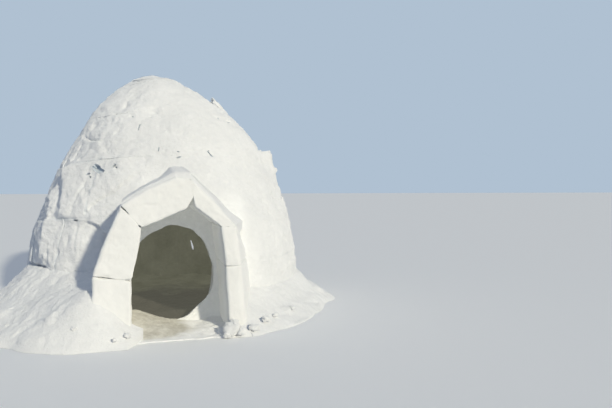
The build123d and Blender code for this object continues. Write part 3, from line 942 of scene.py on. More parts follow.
def resampled_outline(corners, spacing):
    """Closed outline as evenly spaced rows of values, rounded by a bell-shaped blur along it.

    Each corner holds x, z, its outward spread and the edge radius of the stretch that follows it."""
    table = np.array([[c[0][0], c[0][1], c[1], c[2]] for c in corners])
    closed = np.concatenate([table, table[:1]])
    steps = np.hypot(np.diff(closed[:, 0]), np.diff(closed[:, 1]))
    lengths = np.concatenate([[0], np.cumsum(steps)])
    count = int(round(lengths[-1] / spacing))
    places = np.arange(count) / count * lengths[-1]
    stretch = np.searchsorted(lengths, places, side="right") - 1
    rows = [np.interp(places, lengths, closed[:, k]) for k in range(3)]
    rows.append(table[stretch, 3])
    away = np.minimum(np.arange(count), count - np.arange(count)) * lengths[-1] / count
    soft = []
    for values, width in zip(rows, (CORNER_BLUR, CORNER_BLUR, CORNER_BLUR, RADIUS_BLUR)):
        bell = np.exp(-0.5 * (away / width) ** 2)
        soft.append(np.real(np.fft.ifft(np.fft.fft(values) * np.fft.fft(bell / bell.sum()))))
    return np.stack(soft, -1)


def outline_normals(x, z):
    """Normals in the outline's plane, pointing out of a closed outline given in either direction."""
    tangent = np.stack([np.roll(x, -1) - np.roll(x, 1), np.roll(z, -1) - np.roll(z, 1)], -1)
    tangent /= np.linalg.norm(tangent, axis=-1, keepdims=True)
    area = np.sum(x * np.roll(z, -1) - np.roll(x, -1) * z)
    return np.stack([tangent[:, 1], -tangent[:, 0]], -1) * np.sign(area)


def bowed(start, end, bow):
    """Middle of the line between two points, moved a bow to its left."""
    run, rise = end[0] - start[0], end[1] - start[1]
    length = math.hypot(run, rise)
    return (start[0] + end[0]) / 2 - bow * rise / length, (start[1] + end[1]) / 2 + bow * run / length


def lerp_pair(start, end, share):
    """The point a share of the way from one point to another."""
    return start[0] + share * (end[0] - start[0]), start[1] + share * (end[1] - start[1])


# Corners of the porch's front, as x and z, and the creases where its snow meets the dome
LEFT_JOINT_INNER = (-0.402, 0.465)
LEFT_JOINT_OUTER = (-0.682, 0.507)
RIGHT_JOINT_INNER = (0.322, 0.548)
RIGHT_JOINT_OUTER = (0.442, 0.548)
LEFT_EAVES = (-0.326, 0.866)
RIGHT_EAVES = (0.283, 0.866)
LEFT_SHOULDER = (-0.472, 1.036)
RIGHT_SHOULDER = (0.415, 0.862)
LEFT_CREST = (-0.064, 1.259)
RIDGE_TOP = (0.044, 1.246)
NOTCH_TOP = (0.070, 1.103)
NOTCH_LEFT = (0.016, 1.008)
NOTCH_RIGHT = (0.082, 1.022)
LEFT_FOOT = -0.707
RIGHT_FOOT = 0.495
LEFT_CREASE = [(-0.382, 1.129), (-0.135, 1.275), (-0.064, 1.358), (0.044, 1.387)]
RIGHT_CREASE = [
    (0.044, 1.387),
    (0.125, 1.305),
    (0.250, 1.180),
    (0.380, 1.060),
    (0.500, 0.955),
    (0.615, 0.872),
]
SLAB_BOW = 0.014

# Corners of each slab's front, its outward spread at the wall and the edge radius of the next stretch
PORCH_SLABS = {
    "left_jamb_lower": [
        ((-PASSAGE_LEFT, 0.0), 0, 0.020),
        (LEFT_JOINT_INNER, 0, 0.009),
        (LEFT_JOINT_OUTER, 0, 0.030),
        ((LEFT_FOOT, 0.0), 0, 0.006),
    ],
    "left_jamb_upper": [
        (LEFT_JOINT_INNER, 0, 0.016),
        (bowed(LEFT_JOINT_INNER, LEFT_EAVES, -SLAB_BOW), 0, 0.016),
        (LEFT_EAVES, 0, 0.006),
        (lerp_pair(LEFT_EAVES, LEFT_SHOULDER, 0.55), 0, 0.012),
        (LEFT_SHOULDER, 0, 0.028),
        (bowed(LEFT_SHOULDER, LEFT_JOINT_OUTER, -SLAB_BOW), 0, 0.028),
        (LEFT_JOINT_OUTER, 0, 0.009),
    ],
    "right_jamb_lower": [
        ((PASSAGE_RIGHT, 0.0), 0, 0.006),
        ((RIGHT_FOOT, 0.0), 1, 0.045),
        (RIGHT_JOINT_OUTER, 1, 0.008),
        (RIGHT_JOINT_INNER, 0, 0.022),
    ],
    "right_jamb_upper": [
        (RIGHT_JOINT_INNER, 0, 0.008),
        (RIGHT_JOINT_OUTER, 1, 0.045),
        (RIGHT_SHOULDER, 0.6, 0.003),
        (RIGHT_EAVES, 0, 0.020),
    ],
    "left_roof_slab": [
        (LEFT_EAVES, 0, 0.016),
        (NOTCH_LEFT, 0, 0.010),
        (NOTCH_TOP, 0, 0.002),
        (RIDGE_TOP, 0, 0.045),
        (LEFT_CREST, 0, 0.030),
        (bowed(LEFT_SHOULDER, LEFT_CREST, 1.5 * SLAB_BOW), 0, 0.026),
        (LEFT_SHOULDER, 0, 0.012),
        (lerp_pair(LEFT_SHOULDER, LEFT_EAVES, 0.45), 0, 0.006),
    ],
    "right_roof_slab": [
        (RIGHT_EAVES, 0, 0.003),
        (RIGHT_SHOULDER, 0.6, 0.050),
        (bowed(RIDGE_TOP, RIGHT_SHOULDER, SLAB_BOW), 0.1, 0.040),
        (RIDGE_TOP, 0, 0.002),
        (NOTCH_TOP, 0, 0.010),
        (NOTCH_RIGHT, 0, 0.016),
    ],
}

# Chinks and knocks on the porch: place, half sizes along X, Y and Z, depth
PORCH_DENTS = [
    ((-0.590, -1.900, 0.500), (0.042, 0.030, 0.011), 0.022),
    ((-0.415, -1.900, 0.470), (0.030, 0.030, 0.016), 0.012),
    ((-0.455, -1.900, 0.985), (0.050, 0.040, 0.030), 0.010),
    ((-0.250, -1.900, 1.040), (0.060, 0.030, 0.014), 0.006),
    ((0.360, -1.900, 0.548), (0.060, 0.030, 0.008), 0.008),
]


def porch_relief(points, size):
    """Outward shift of the porch slabs: shallow swells, lumps, fine scraping and the knocks."""
    shift = size.swell * 0.35 * noise("slab swell", points)
    shift = shift + size.lumps * 0.55 * noise("slab lumps", points)
    shift = shift + size.crumbs * 0.5 * noise("slab scraping", points)
    for place, half, depth in PORCH_DENTS:
        reach = sum(((points[..., k] - place[k]) / half[k]) ** 2 for k in range(3))
        shift = shift - depth * np.exp(-reach)
    return shift


# Chinks cut where two slabs meet: x, z, half length, half height, depth and turn in degrees
SLAB_CHINKS = [
    (-0.578, 0.493, 0.040, 0.0055, 0.060, -6),
    (-0.432, 0.472, 0.016, 0.0050, 0.030, -4),
    (-0.452, 1.012, 0.028, 0.0060, 0.060, -46),
    (-0.334, 0.878, 0.014, 0.0060, 0.040, -50),
]


def slab_chink(x, z, half_length, half_height, depth, turn):
    """Cutter for a chink in the porch's front: a thin pointed oval that narrows as it runs back."""
    angle = np.linspace(0, 2 * np.pi, 26, endpoint=False)
    p = half_length * np.cos(angle)
    q = half_height * np.sin(angle) * (1 + 0.35 * np.sin(2 * angle + 40 * x))
    c, s = math.cos(math.radians(turn)), math.sin(math.radians(turn))
    rings = []
    for share, scale in ((-1.0, 1.0), (0.0, 1.0), (0.5, 0.9), (1.0, 0.5)):
        y = np.full_like(p, -PORCH_FRONT + (depth * share if share > 0 else 0.05 * share))
        rings.append(np.stack([x + scale * (c * p - s * q), y, z + scale * (s * p + c * q)], -1))
    rings = np.stack(rings)
    return closed_tube(rings, rings[0].mean(0), rings[-1].mean(0))


def dome_face(x, z):
    """Y of the dome's front at a place seen from the front."""
    return -np.sqrt(np.clip(wall_radius(z) ** 2 - x**2, 1e-4, None))


# Edge radius under which a slab's outline grows, and the most that it grows by
SMALL_RADIUS = 0.012
SMALL_RADIUS_GROWTH = 0.0016


def slab_form(corners, size):
    """A porch slab: its front face, rounded arris and sides that run back into the wall.

    Rings follow the outline, which a small radius lets grow a little, so that slabs meet closely. On
    the front they shrink to its middle, over the arris they turn a quarter circle, and behind it they
    run back and spread sideways as far as the dome. Also returns which points face the passage,
    where painted passage light is laid."""
    outline = resampled_outline(corners, size.cell * 0.9)
    x, z, spread, radius = outline.T
    nx, nz = outline_normals(x, z).T
    grown = np.clip(SMALL_RADIUS - radius, 0, SMALL_RADIUS_GROWTH)
    x, z = x + nx * grown, z + nz * grown
    inset_x, inset_z = x - nx * radius, z - nz * radius
    middle_x, middle_z = inset_x.mean(), inset_z.mean()
    rings = []
    reach = np.hypot(inset_x - middle_x, inset_z - middle_z).max()
    for share in np.linspace(0.03, 1, max(6, int(reach / size.cell / 1.2))):
        rings.append(np.stack([
            middle_x + share * (inset_x - middle_x),
            np.full_like(x, -PORCH_FRONT),
            middle_z + share * (inset_z - middle_z),
        ], -1))
    flat_count = len(rings)
    for angle in np.linspace(0, math.pi / 2, 7)[1:]:
        rings.append(np.stack([
            inset_x + nx * radius * math.sin(angle),
            -PORCH_FRONT + radius * (1 - math.cos(angle)),
            inset_z + nz * radius * math.sin(angle),
        ], -1))
    back = dome_face(x, z) + size.seat
    for _ in range(3):
        wide = x + spread * RIGHT_FLARE * (PORCH_FRONT + back) / (PORCH_FRONT - PORCH_BACK)
        back = dome_face(wide, z) + size.seat
    front = -PORCH_FRONT + radius
    for share in np.linspace(0, 1, max(8, int((back - front).max() / size.cell / 1.3)))[1:]:
        y = front + (back - front) * share
        rings.append(np.stack([x, y, z], -1))
    rings = np.stack(rings)
    share = (PORCH_FRONT + rings[..., 1]) / (PORCH_FRONT - PORCH_BACK)
    rings[..., 0] += spread[None, :] * RIGHT_FLARE * share
    normals = ring_normals(rings)
    middle = np.array([middle_x, -PORCH_FRONT, middle_z])
    toward = rings[len(rings) // 2] - middle
    if np.mean(np.sum(normals[len(rings) // 2] * toward, -1)) < 0:
        normals = -normals
    normals[:flat_count] = (0, -1, 0)
    shift = porch_relief(rings, size)
    shift[0] = shift[0].mean()
    rings = rings + normals * shift[..., None]
    rings[..., 2] = np.maximum(rings[..., 2], 0.0)
    # Painted passage light: faces towards the passage, behind the front, get an emission in place of daylight
    to_passage = (DOORWAY[0] - middle_x) * nx + (DOORWAY[1] - middle_z) * nz
    passage = (to_passage > 0.12) * smooth_step(0.02, 0.16, rings[..., 1] + PORCH_FRONT)
    passage = np.concatenate([passage.ravel(), [0, 1]])
    return closed_tube(rings, rings[0].mean(0), rings[-1].mean(0)), passage


def lerp(a, b, share):
    """The place a share of the way from a to b."""
    return a + (b - a) * share


def read_curve(points, shares):
    """A broken line read at shares of its length: a column of its first and one of its second values."""
    table = np.array(points)
    steps = np.concatenate([[0], np.cumsum(np.hypot(*np.diff(table, axis=0).T))])
    places = shares * steps[-1]
    return [np.interp(places, steps, values)[:, None] for values in table.T]


def saddle_form(roof, crease, size):
    """Snow on a roof slab's back: a sheet from behind the slab's front up to the crease on the dome.

    The roof's line and the crease are each a curve of one parameter, and the second parameter runs
    back from one to the other. The height climbs with it to a power, less a peak about the ridge
    that rounds it. The underside lies inside the slab."""
    along = np.linspace(0, 1, 64)
    back = np.linspace(0, 1, 44)[None, :]
    roof_x, roof_z = read_curve(roof, along)
    crease_x, crease_z = read_curve(crease, along)
    beyond = 0.012 * np.sign(roof_x.mean() - RIDGE_TOP[0]) * (np.abs(roof_x - RIDGE_TOP[0]) < 1e-6)
    x = lerp(roof_x, crease_x, back) - beyond
    z = lerp(roof_z - 0.004, crease_z, back**SADDLE_POWER)
    z = z - 0.030 * np.exp(-np.abs(x - RIDGE_TOP[0]) / 0.055) * smooth_step(0.0, 0.25, back)
    y = lerp(-SADDLE_FRONT, dome_face(crease_x, crease_z) + size.seat, back)
    top = np.stack([x + 0 * y, y, z + 0 * y], -1)
    lumps = size.lumps * 0.8 * noise("saddle lumps", top) + size.crumbs * 0.6 * noise("saddle crumbs", top)
    top[..., 2] += lumps * smooth_step(0.0, 0.25, back)
    under = top.copy()
    under[..., 2] -= 0.03 + 0.06 * np.sin(np.pi * back)
    under[..., 1] += 0.03 * (1 - back)
    return solid_between(top, under)


# The heaps at the jambs: their depth in front of the porch, and how far their shoulder lies in
HEAP_DEPTH = 0.220
HEAP_SHOULDER = 0.020


def jamb_corner(x):
    """Azimuth of a corner on the porch's front, and its distance from the wall's foot."""
    return math.degrees(math.atan2(-PORCH_FRONT, x)) % 360, math.hypot(PORCH_FRONT, x) - DOME_RADIUS


LEFT_PASSAGE = jamb_corner(-PASSAGE_LEFT)
LEFT_CORNER = jamb_corner(LEFT_FOOT)
RIGHT_CORNER = jamb_corner(RIGHT_FOOT)
RIGHT_PASSAGE = jamb_corner(PASSAGE_RIGHT)

# Height of a bank's toe over the ground, and its distance from the edge
TOE_HEIGHT = 0.024

# Banks, from the left of the doorway clockwise to its right: azimuth, height on the wall, shoulder as
# a distance from the wall's foot and a height, reach from the wall's foot
BANK_ROWS = [
    (LEFT_PASSAGE[0], 0.400, LEFT_PASSAGE[1] + HEAP_SHOULDER, 0.130, LEFT_PASSAGE[1] + HEAP_DEPTH),
    (LEFT_CORNER[0], 0.450, LEFT_CORNER[1] - HEAP_SHOULDER, 0.390, LEFT_CORNER[1] + 1.3 * HEAP_DEPTH),
    (238.0, 0.450, 0.470, 0.280, 0.850),
    (225.0, 0.450, 0.370, 0.200, 0.790),
    (205.0, 0.440, 0.270, 0.180, 0.680),
    (180.0, 0.400, 0.220, 0.160, 0.560),
    (150.0, 0.330, 0.180, 0.135, 0.470),
    (115.0, 0.290, 0.150, 0.120, 0.410),
    (80.0, 0.280, 0.140, 0.115, 0.390),
    (45.0, 0.280, 0.140, 0.115, 0.380),
    (10.0, 0.270, 0.135, 0.110, 0.360),
    (-20.0, 0.270, 0.140, 0.110, 0.370),
    (-45.0, 0.280, 0.170, 0.115, 0.430),
    (-60.0, 0.300, 0.270, 0.125, 0.550),
    (RIGHT_CORNER[0] - 360, 0.310, RIGHT_CORNER[1] - HEAP_DEPTH / 2, 0.150, RIGHT_CORNER[1] + HEAP_DEPTH / 2),
    (
        RIGHT_PASSAGE[0] - 360,
        0.300,
        RIGHT_PASSAGE[1] + HEAP_SHOULDER / 2,
        0.070,
        RIGHT_PASSAGE[1] + HEAP_DEPTH / 2,
    ),
]
BANK_PIECES = {
    "left_foot_heap": (LEFT_PASSAGE[0], LEFT_CORNER[0]),
    "front_left_bank": (LEFT_CORNER[0], 205.0),
    "left_bank": (205.0, 150.0),
    "back_left_bank": (150.0, 115.0),
    "back_bank": (115.0, 80.0),
    "back_right_bank": (80.0, 10.0),
    "right_bank": (10.0, -45.0),
    "front_right_bank": (-45.0, RIGHT_CORNER[0] - 360),
    "right_foot_heap": (RIGHT_CORNER[0] - 360, RIGHT_PASSAGE[0] - 360),
}

# Broad lumps and ridges pushed up on the banks: x, y, radius, height
BANK_LUMPS = [
    (0.450, -1.985, 0.040, 0.030),
    (-0.980, -1.820, 0.050, 0.026),
    (-1.420, -1.250, 0.060, 0.030),
    (0.930, -1.480, 0.050, 0.030),
    (1.520, -0.560, 0.055, 0.032),
    (1.480, 0.720, 0.060, 0.034),
    (0.300, 1.640, 0.060, 0.036),
    (-0.900, 1.450, 0.055, 0.030),
    (-1.640, 0.420, 0.055, 0.034),
]

# Loose chunks that lie on the banks, by bank: x, y, half sizes along x, y and z, height of the middle
CHUNKS = {
    "right_foot_heap": [
        (0.352, -1.975, 0.066, 0.050, 0.050, 0.062),
        (0.310, -2.010, 0.030, 0.026, 0.022, 0.030),
        (0.432, -1.990, 0.046, 0.034, 0.030, 0.050),
        (0.385, -1.935, 0.034, 0.030, 0.026, 0.104),
    ],
    "front_right_bank": [
        (0.535, -1.955, 0.044, 0.030, 0.026, 0.062),
        (0.665, -1.815, 0.036, 0.026, 0.024, 0.094),
        (0.770, -1.700, 0.022, 0.024, 0.018, 0.098),
        (0.980, -1.460, 0.026, 0.022, 0.020, 0.094),
    ],
    "left_foot_heap": [
        (-0.430, -2.030, 0.026, 0.022, 0.018, 0.082),
        (-0.520, -2.085, 0.018, 0.016, 0.014, 0.070),
    ],
    "front_left_bank": [
        (-0.800, -2.000, 0.024, 0.020, 0.017, 0.150),
        (-1.060, -1.780, 0.030, 0.026, 0.020, 0.120),
        (-1.330, -1.500, 0.024, 0.028, 0.018, 0.090),
        (-1.560, -1.080, 0.030, 0.024, 0.020, 0.110),
    ],
}


def chunk_form(x, y, half_x, half_y, half_z, height, seed, fall=0.0):
    """A broken chunk: a rounded box, its radius worked out from the two angles, knocked uneven.

    The radius is that of a box with the fourth power in place of the square, times one plus noise.
    It lies turned by its seed, or slants down along x by the fall."""
    polar = np.linspace(0, np.pi, 15)[1:-1, None]
    turn = np.linspace(0, 2 * np.pi, 26, endpoint=False)[None, :]
    way = [np.sin(polar) * np.cos(turn), np.sin(polar) * np.sin(turn), np.cos(polar) + 0 * turn]
    way = np.stack(way, -1)
    square = np.sum(np.abs(way) ** 4, -1) ** -0.25
    knocked = square * (0.88 + 0.26 * layered_noise(way * 1.3, 0.75, seed, 3))
    rings = way * knocked[..., None] * (half_x, half_y, half_z)
    if fall:
        rings[..., 2] -= fall * rings[..., 0]
    else:
        c, s = math.cos(seed), math.sin(seed)
        across, along, up = np.moveaxis(rings, -1, 0)
        rings = np.stack([c * across - s * along, s * across + c * along, up], -1)
    rings = rings + (x, y, height)
    rings[..., 2] = np.maximum(rings[..., 2], 0.001)
    return closed_tube(rings, rings[0].mean(0), rings[-1].mean(0))


# Chunks left standing on the wall, by node: the same numbers, and how steeply they slant down along x
WALL_CHUNKS = {"turn_5_right_blocks": [(0.494, -0.200, 0.066, 0.044, 0.034, 2.056)]}
CHUNK_FALL = 0.75


def bank_sections(azimuth):
    """Corners of the bank's section at azimuths: seat, ledge, shoulder, toe and edge, as x, y and z.

    Between two rows the corners lie partly on the straight line and partly on the arc."""
    rows = np.array(BANK_ROWS)[::-1]
    wall = wall_radius(rows[:, 1])
    edge = DOME_RADIUS + rows[:, 4]
    radius = np.stack([wall - 0.090, wall + 0.025, DOME_RADIUS + rows[:, 2], edge - TOE_HEIGHT, edge], -1)
    level = 0 * edge
    height = np.stack([rows[:, 1], rows[:, 1], rows[:, 3], level + TOE_HEIGHT, level + 0.002], -1)
    turn = np.radians(rows[:, 0])[:, None]
    x, y = radius * np.cos(turn), radius * np.sin(turn)
    here = np.radians(azimuth)
    corners = []
    for k in range(5):
        arc = np.interp(azimuth, rows[:, 0], radius[:, k])
        line_x, line_y = (np.interp(azimuth, rows[:, 0], values[:, k]) for values in (x, y))
        corners.append(np.stack([
            0.55 * line_x + 0.45 * arc * np.cos(here),
            0.55 * line_y + 0.45 * arc * np.sin(here),
            np.interp(azimuth, rows[:, 0], height[:, k]),
        ], -1))
    return np.stack(corners, 1)


def bank_corners(azimuth, heap):
    """The section's corners, blurred round the ring, with a ragged toe.

    A heap starts behind the porch's front in place of the wall."""
    blur = np.linspace(-5, 5, 11)
    weight = np.exp(-0.5 * (blur / 2.6) ** 2)
    first, last = BANK_ROWS[-1][0], BANK_ROWS[0][0]
    room = np.minimum(np.minimum(azimuth - first, last - azimuth) / 5, 1)
    corners = 0
    for move, share in zip(blur, weight / weight.sum()):
        corners = corners + share * bank_sections(azimuth + move * np.clip(room, 0, 1))
    if heap:
        share = (0.03 - PORCH_FRONT - corners[:, 1, 1]) / (corners[:, 2, 1] - corners[:, 1, 1])
        fall = corners[:, 2] - corners[:, 1]
        corners[:, 1] = corners[:, 1] + np.clip(share, 0, 0.97)[:, None] * fall
        corners[:, 0] = corners[:, 1] + (corners[:, 1] - corners[:, 2]) * 0.04
    turn = np.radians(azimuth)
    outwards = np.stack([np.cos(turn), np.sin(turn), 0 * turn], -1)
    ragged = 0.040 * noise("bank edge", outwards * 1.9) - 0.018
    corners[:, 3:, :2] += (ragged[:, None] * outwards[:, :2])[:, None]
    return corners


def bank_places(corners, size):
    """Evenly spaced places along each section, its corners rounded by a bell-shaped blur."""
    steps = np.linalg.norm(np.diff(corners, axis=1), axis=-1)
    lengths = np.concatenate([np.zeros((len(corners), 1)), np.cumsum(steps, axis=1)], 1)
    across = max(12, int(lengths[:, -1].max() / size.bank_cell))
    even = np.linspace(0, 1, across + 1)
    place = np.empty((len(corners), across + 1, 3))
    for k in range(3):
        rows = zip(lengths, corners)
        place[..., k] = [np.interp(even * length[-1], length, row[:, k]) for length, row in rows]
    spread = max(2, int(0.10 / size.bank_cell))
    weight = np.exp(-0.5 * (np.arange(-spread, spread + 1) / (spread * 0.45)) ** 2)
    padded = np.concatenate([
        2 * place[:, :1] - place[:, spread:0:-1],
        place,
        2 * place[:, -1:] - place[:, -2:-spread - 2:-1],
    ], 1)
    return even, sum(w * padded[:, k:k + across + 1] for k, w in enumerate(weight / weight.sum()))


def bank_lift(place, even, size):
    """Upward shift of a bank: lumps and crumbs, furrows on its left, clods and the pushed-up lumps."""
    x, y, height = np.moveaxis(place, -1, 0)
    bent = place + 0.10 * np.stack([value_noise(place / 0.3, 301), value_noise(place / 0.3, 302), 0 * x], -1)
    lift = size.bank_lumps * noise("bank lumps", bent)
    lift += 0.35 * size.bank_lumps * noise("bank crumbs", bent)
    left = smooth_step(0.2, 0.9, -x) * smooth_step(0.6, -0.4, y)
    furrows = [bent[..., 0] * 0.55 - bent[..., 1] * 0.95, (x + y) * 0.30, height * 0.5]
    lift += 0.008 * left * noise("bank furrows", np.stack(furrows, -1))
    clods = smooth_step(0.35, 0.9, noise("bank clods", bent))
    lift += 0.6 * size.bank_lumps * clods * smooth_step(0.25, 0.8, even)[None, :]
    skin = 0.85 + 0.3 * noise("bank lump skin", place)
    for lump_x, lump_y, lump_radius, lump_height in BANK_LUMPS:
        away = np.hypot(x - lump_x, y - lump_y) / lump_radius
        lift = lift + lump_height * np.exp(-(away**3)) * skin
    free = smooth_step(0.0, 0.12, even)[None, :] * smooth_step(0.0, 0.10, 1 - even)[None, :]
    return lift * free


def bank_form(start, end, size, heap):
    """A bank: a closed section carried round the ring from one azimuth to the next.

    The section comes out of the wall, crosses a ledge, falls over a rounded shoulder to a thin uneven
    toe and returns along the ground. A heap is lowered and drawn back where it meets the passage."""
    reach = abs(math.radians(end - start)) * (DOME_RADIUS + 0.35)
    azimuth = np.linspace(start, end, max(8, int(reach / size.bank_cell)) + 1)
    even, place = bank_places(bank_corners(azimuth, heap), size)
    x, y, height = np.moveaxis(place, -1, 0)
    height = height + bank_lift(place, even, size)
    if heap:
        passage = -PASSAGE_LEFT if start > 180 else PASSAGE_RIGHT
        beside = smooth_step(-0.01, 0.11, np.abs(x - passage))
        height = height * (0.55 + 0.45 * beside)
        x = x - 0.09 * np.sign(passage) * (1 - beside) ** 2
    height = np.maximum(height, 0.002)
    height[:, -1] = 0.0
    top = np.stack([x, y, height], -1)
    under = top.copy()
    under[..., 2] = 0.0
    under[:, -1, 2] = -0.0005
    return solid_between(top, under)


# How high the threshold climbs towards the left jamb, by x
THRESHOLD_RISE = [(-0.44, 0.142), (-0.40, 0.126), (-0.25, 0.074), (-0.06, 0.018), (0.10, 0.0)]


def threshold_form():
    """Trampled snow between the jambs: a grid over the passage, higher on the left, trodden uneven.

    It climbs from its front lip to the doorway's sill and falls away behind it. Also returns the share
    of fresh snow at each point, and how far the point lies inside, where a near-black painted shade
    and a weak painted glow are laid."""
    x = np.linspace(-PASSAGE_LEFT - 0.03, PASSAGE_RIGHT + 0.03, 92)[:, None]
    back = np.linspace(0, 1, 96)[None, :]
    edge = np.stack([x, 0 * x, 0 * x], -1)
    front_y = -PORCH_FRONT - 0.078 + 0.020 * noise("threshold lip", edge)
    y = lerp(front_y, -1.10 + 0 * x, back)
    place = np.stack([x + 0 * y, y, 0 * y + 0 * x], -1)
    rise_left = read_table(THRESHOLD_RISE, x) * smooth_step(-1.98, -1.45, y)
    rise_right = 0.030 * smooth_step(0.10, 0.34, x) * smooth_step(-1.95, -1.60, y)
    trodden = 0.009 * noise("threshold steps", place)
    trodden = trodden + 0.004 * noise("threshold scuffs", place * (1, 2.6, 1))
    z = 0.012 + 0.008 * smooth_step(0.0, 0.25, back) + rise_left + rise_right
    z = np.maximum(z + trodden * smooth_step(0, 0.1, back), 0.003)
    z = lerp(z, 0.016, smooth_step(-1.37, -1.30, y))
    top = np.stack([x + 0 * y, y, z], -1)
    under = top.copy()
    under[..., 2] = 0.0
    fresh = smooth_step(-0.04, 0.12, x + 0.10 * noise("threshold snow", place)) + 0 * y
    fresh = np.clip(fresh + smooth_step(-1.80, -1.94, y + 0.08 * noise("threshold front", place)), 0, 1)
    # Painted shade: behind the sill the threshold turns near-black, with a weak painted glow
    deep = smooth_step(-1.372, -1.358, y + 0.012 * noise("threshold shade", place))
    both = [np.concatenate([values.ravel(), values.ravel()]) for values in (fresh, deep)]
    return solid_between(top, under), *both


def floor_form():
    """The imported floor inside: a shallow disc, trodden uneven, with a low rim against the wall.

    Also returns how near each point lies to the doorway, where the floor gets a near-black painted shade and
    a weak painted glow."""
    radius = np.linspace(0.02, FLOOR_RADIUS, 84)[:, None]
    turn = np.radians(np.arange(0, 360, 2.0))[None, :]
    x, y = radius * np.cos(turn), radius * np.sin(turn)
    place = np.stack([x, y, 0 * x], -1)
    z = FLOOR_TOP - 0.012 + 0.016 * noise("floor steps", place) + 0.006 * noise("floor scuffs", place)
    z = z + 0.030 * smooth_step(0.95, FLOOR_RADIUS, radius)
    # Painted shade: the floor near the doorway is made near-black, with a weak painted glow
    painted_floor_shade_share = smooth_step(0.75, -0.15, y + 0.25 * noise("floor shade", place))
    rings = np.stack([x, y, z], -1)
    foot = rings[[-1, 0]] * (1, 1, 0)
    rings = np.concatenate([rings, foot])
    painted_floor_shade_share = np.concatenate([painted_floor_shade_share.ravel(), np.ones(2 * painted_floor_shade_share.shape[1] + 2)])
    return closed_tube(rings, rings[0].mean(0), rings[-1].mean(0)), painted_floor_shade_share


def add_node(tree, kind, settings=None, inputs=None):
    """A shader node with its settings and its inputs: a number or colour, or another node's output."""
    made = tree.nodes.new(kind)
    for name, value in (settings or {}).items():
        setattr(made, name, value)
    for name, value in (inputs or {}).items():
        if isinstance(value, bpy.types.NodeSocket):
            tree.links.new(value, made.inputs[name])
        else:
            made.inputs[name].default_value = value
    return made


# Sockets of the colour mix, whose names are shared with its other kinds
MIX_FIRST = 6
MIX_SECOND = 7
MIX_RESULT = 2


def noise_texture(tree, place, scale, detail, roughness):
    """Grey value of a noise texture at a place."""
    inputs = {"Vector": place, "Scale": scale, "Detail": detail, "Roughness": roughness}
    return add_node(tree, "ShaderNodeTexNoise", inputs=inputs).outputs["Fac"]


def mixed_colour(tree, share, first, second):
    """A colour between two by a share, each of them a colour or another node's output."""
    inputs = {"Factor": share, MIX_FIRST: first, MIX_SECOND: second}
    return add_node(tree, "ShaderNodeMix", {"data_type": "RGBA"}, inputs).outputs[MIX_RESULT]


def bump(tree, height, distance, strength, under=None, sunk=False):
    """Normal of a bump by a grey value, sunk or raised, laid over another bump's normal."""
    inputs = {"Height": height, "Distance": distance, "Strength": strength}
    if under is not None:
        inputs["Normal"] = under
    return add_node(tree, "ShaderNodeBump", {"invert": sunk}, inputs).outputs["Normal"]


# No painted glow, for snow that has none, and the shine and softness of all the finishes
NO_PAINTED_GLOW = (0.0, 0.0, 0.0)
SNOW_SPECULAR = 0.20
SNOW_DIFFUSE_ROUGHNESS = 0.42


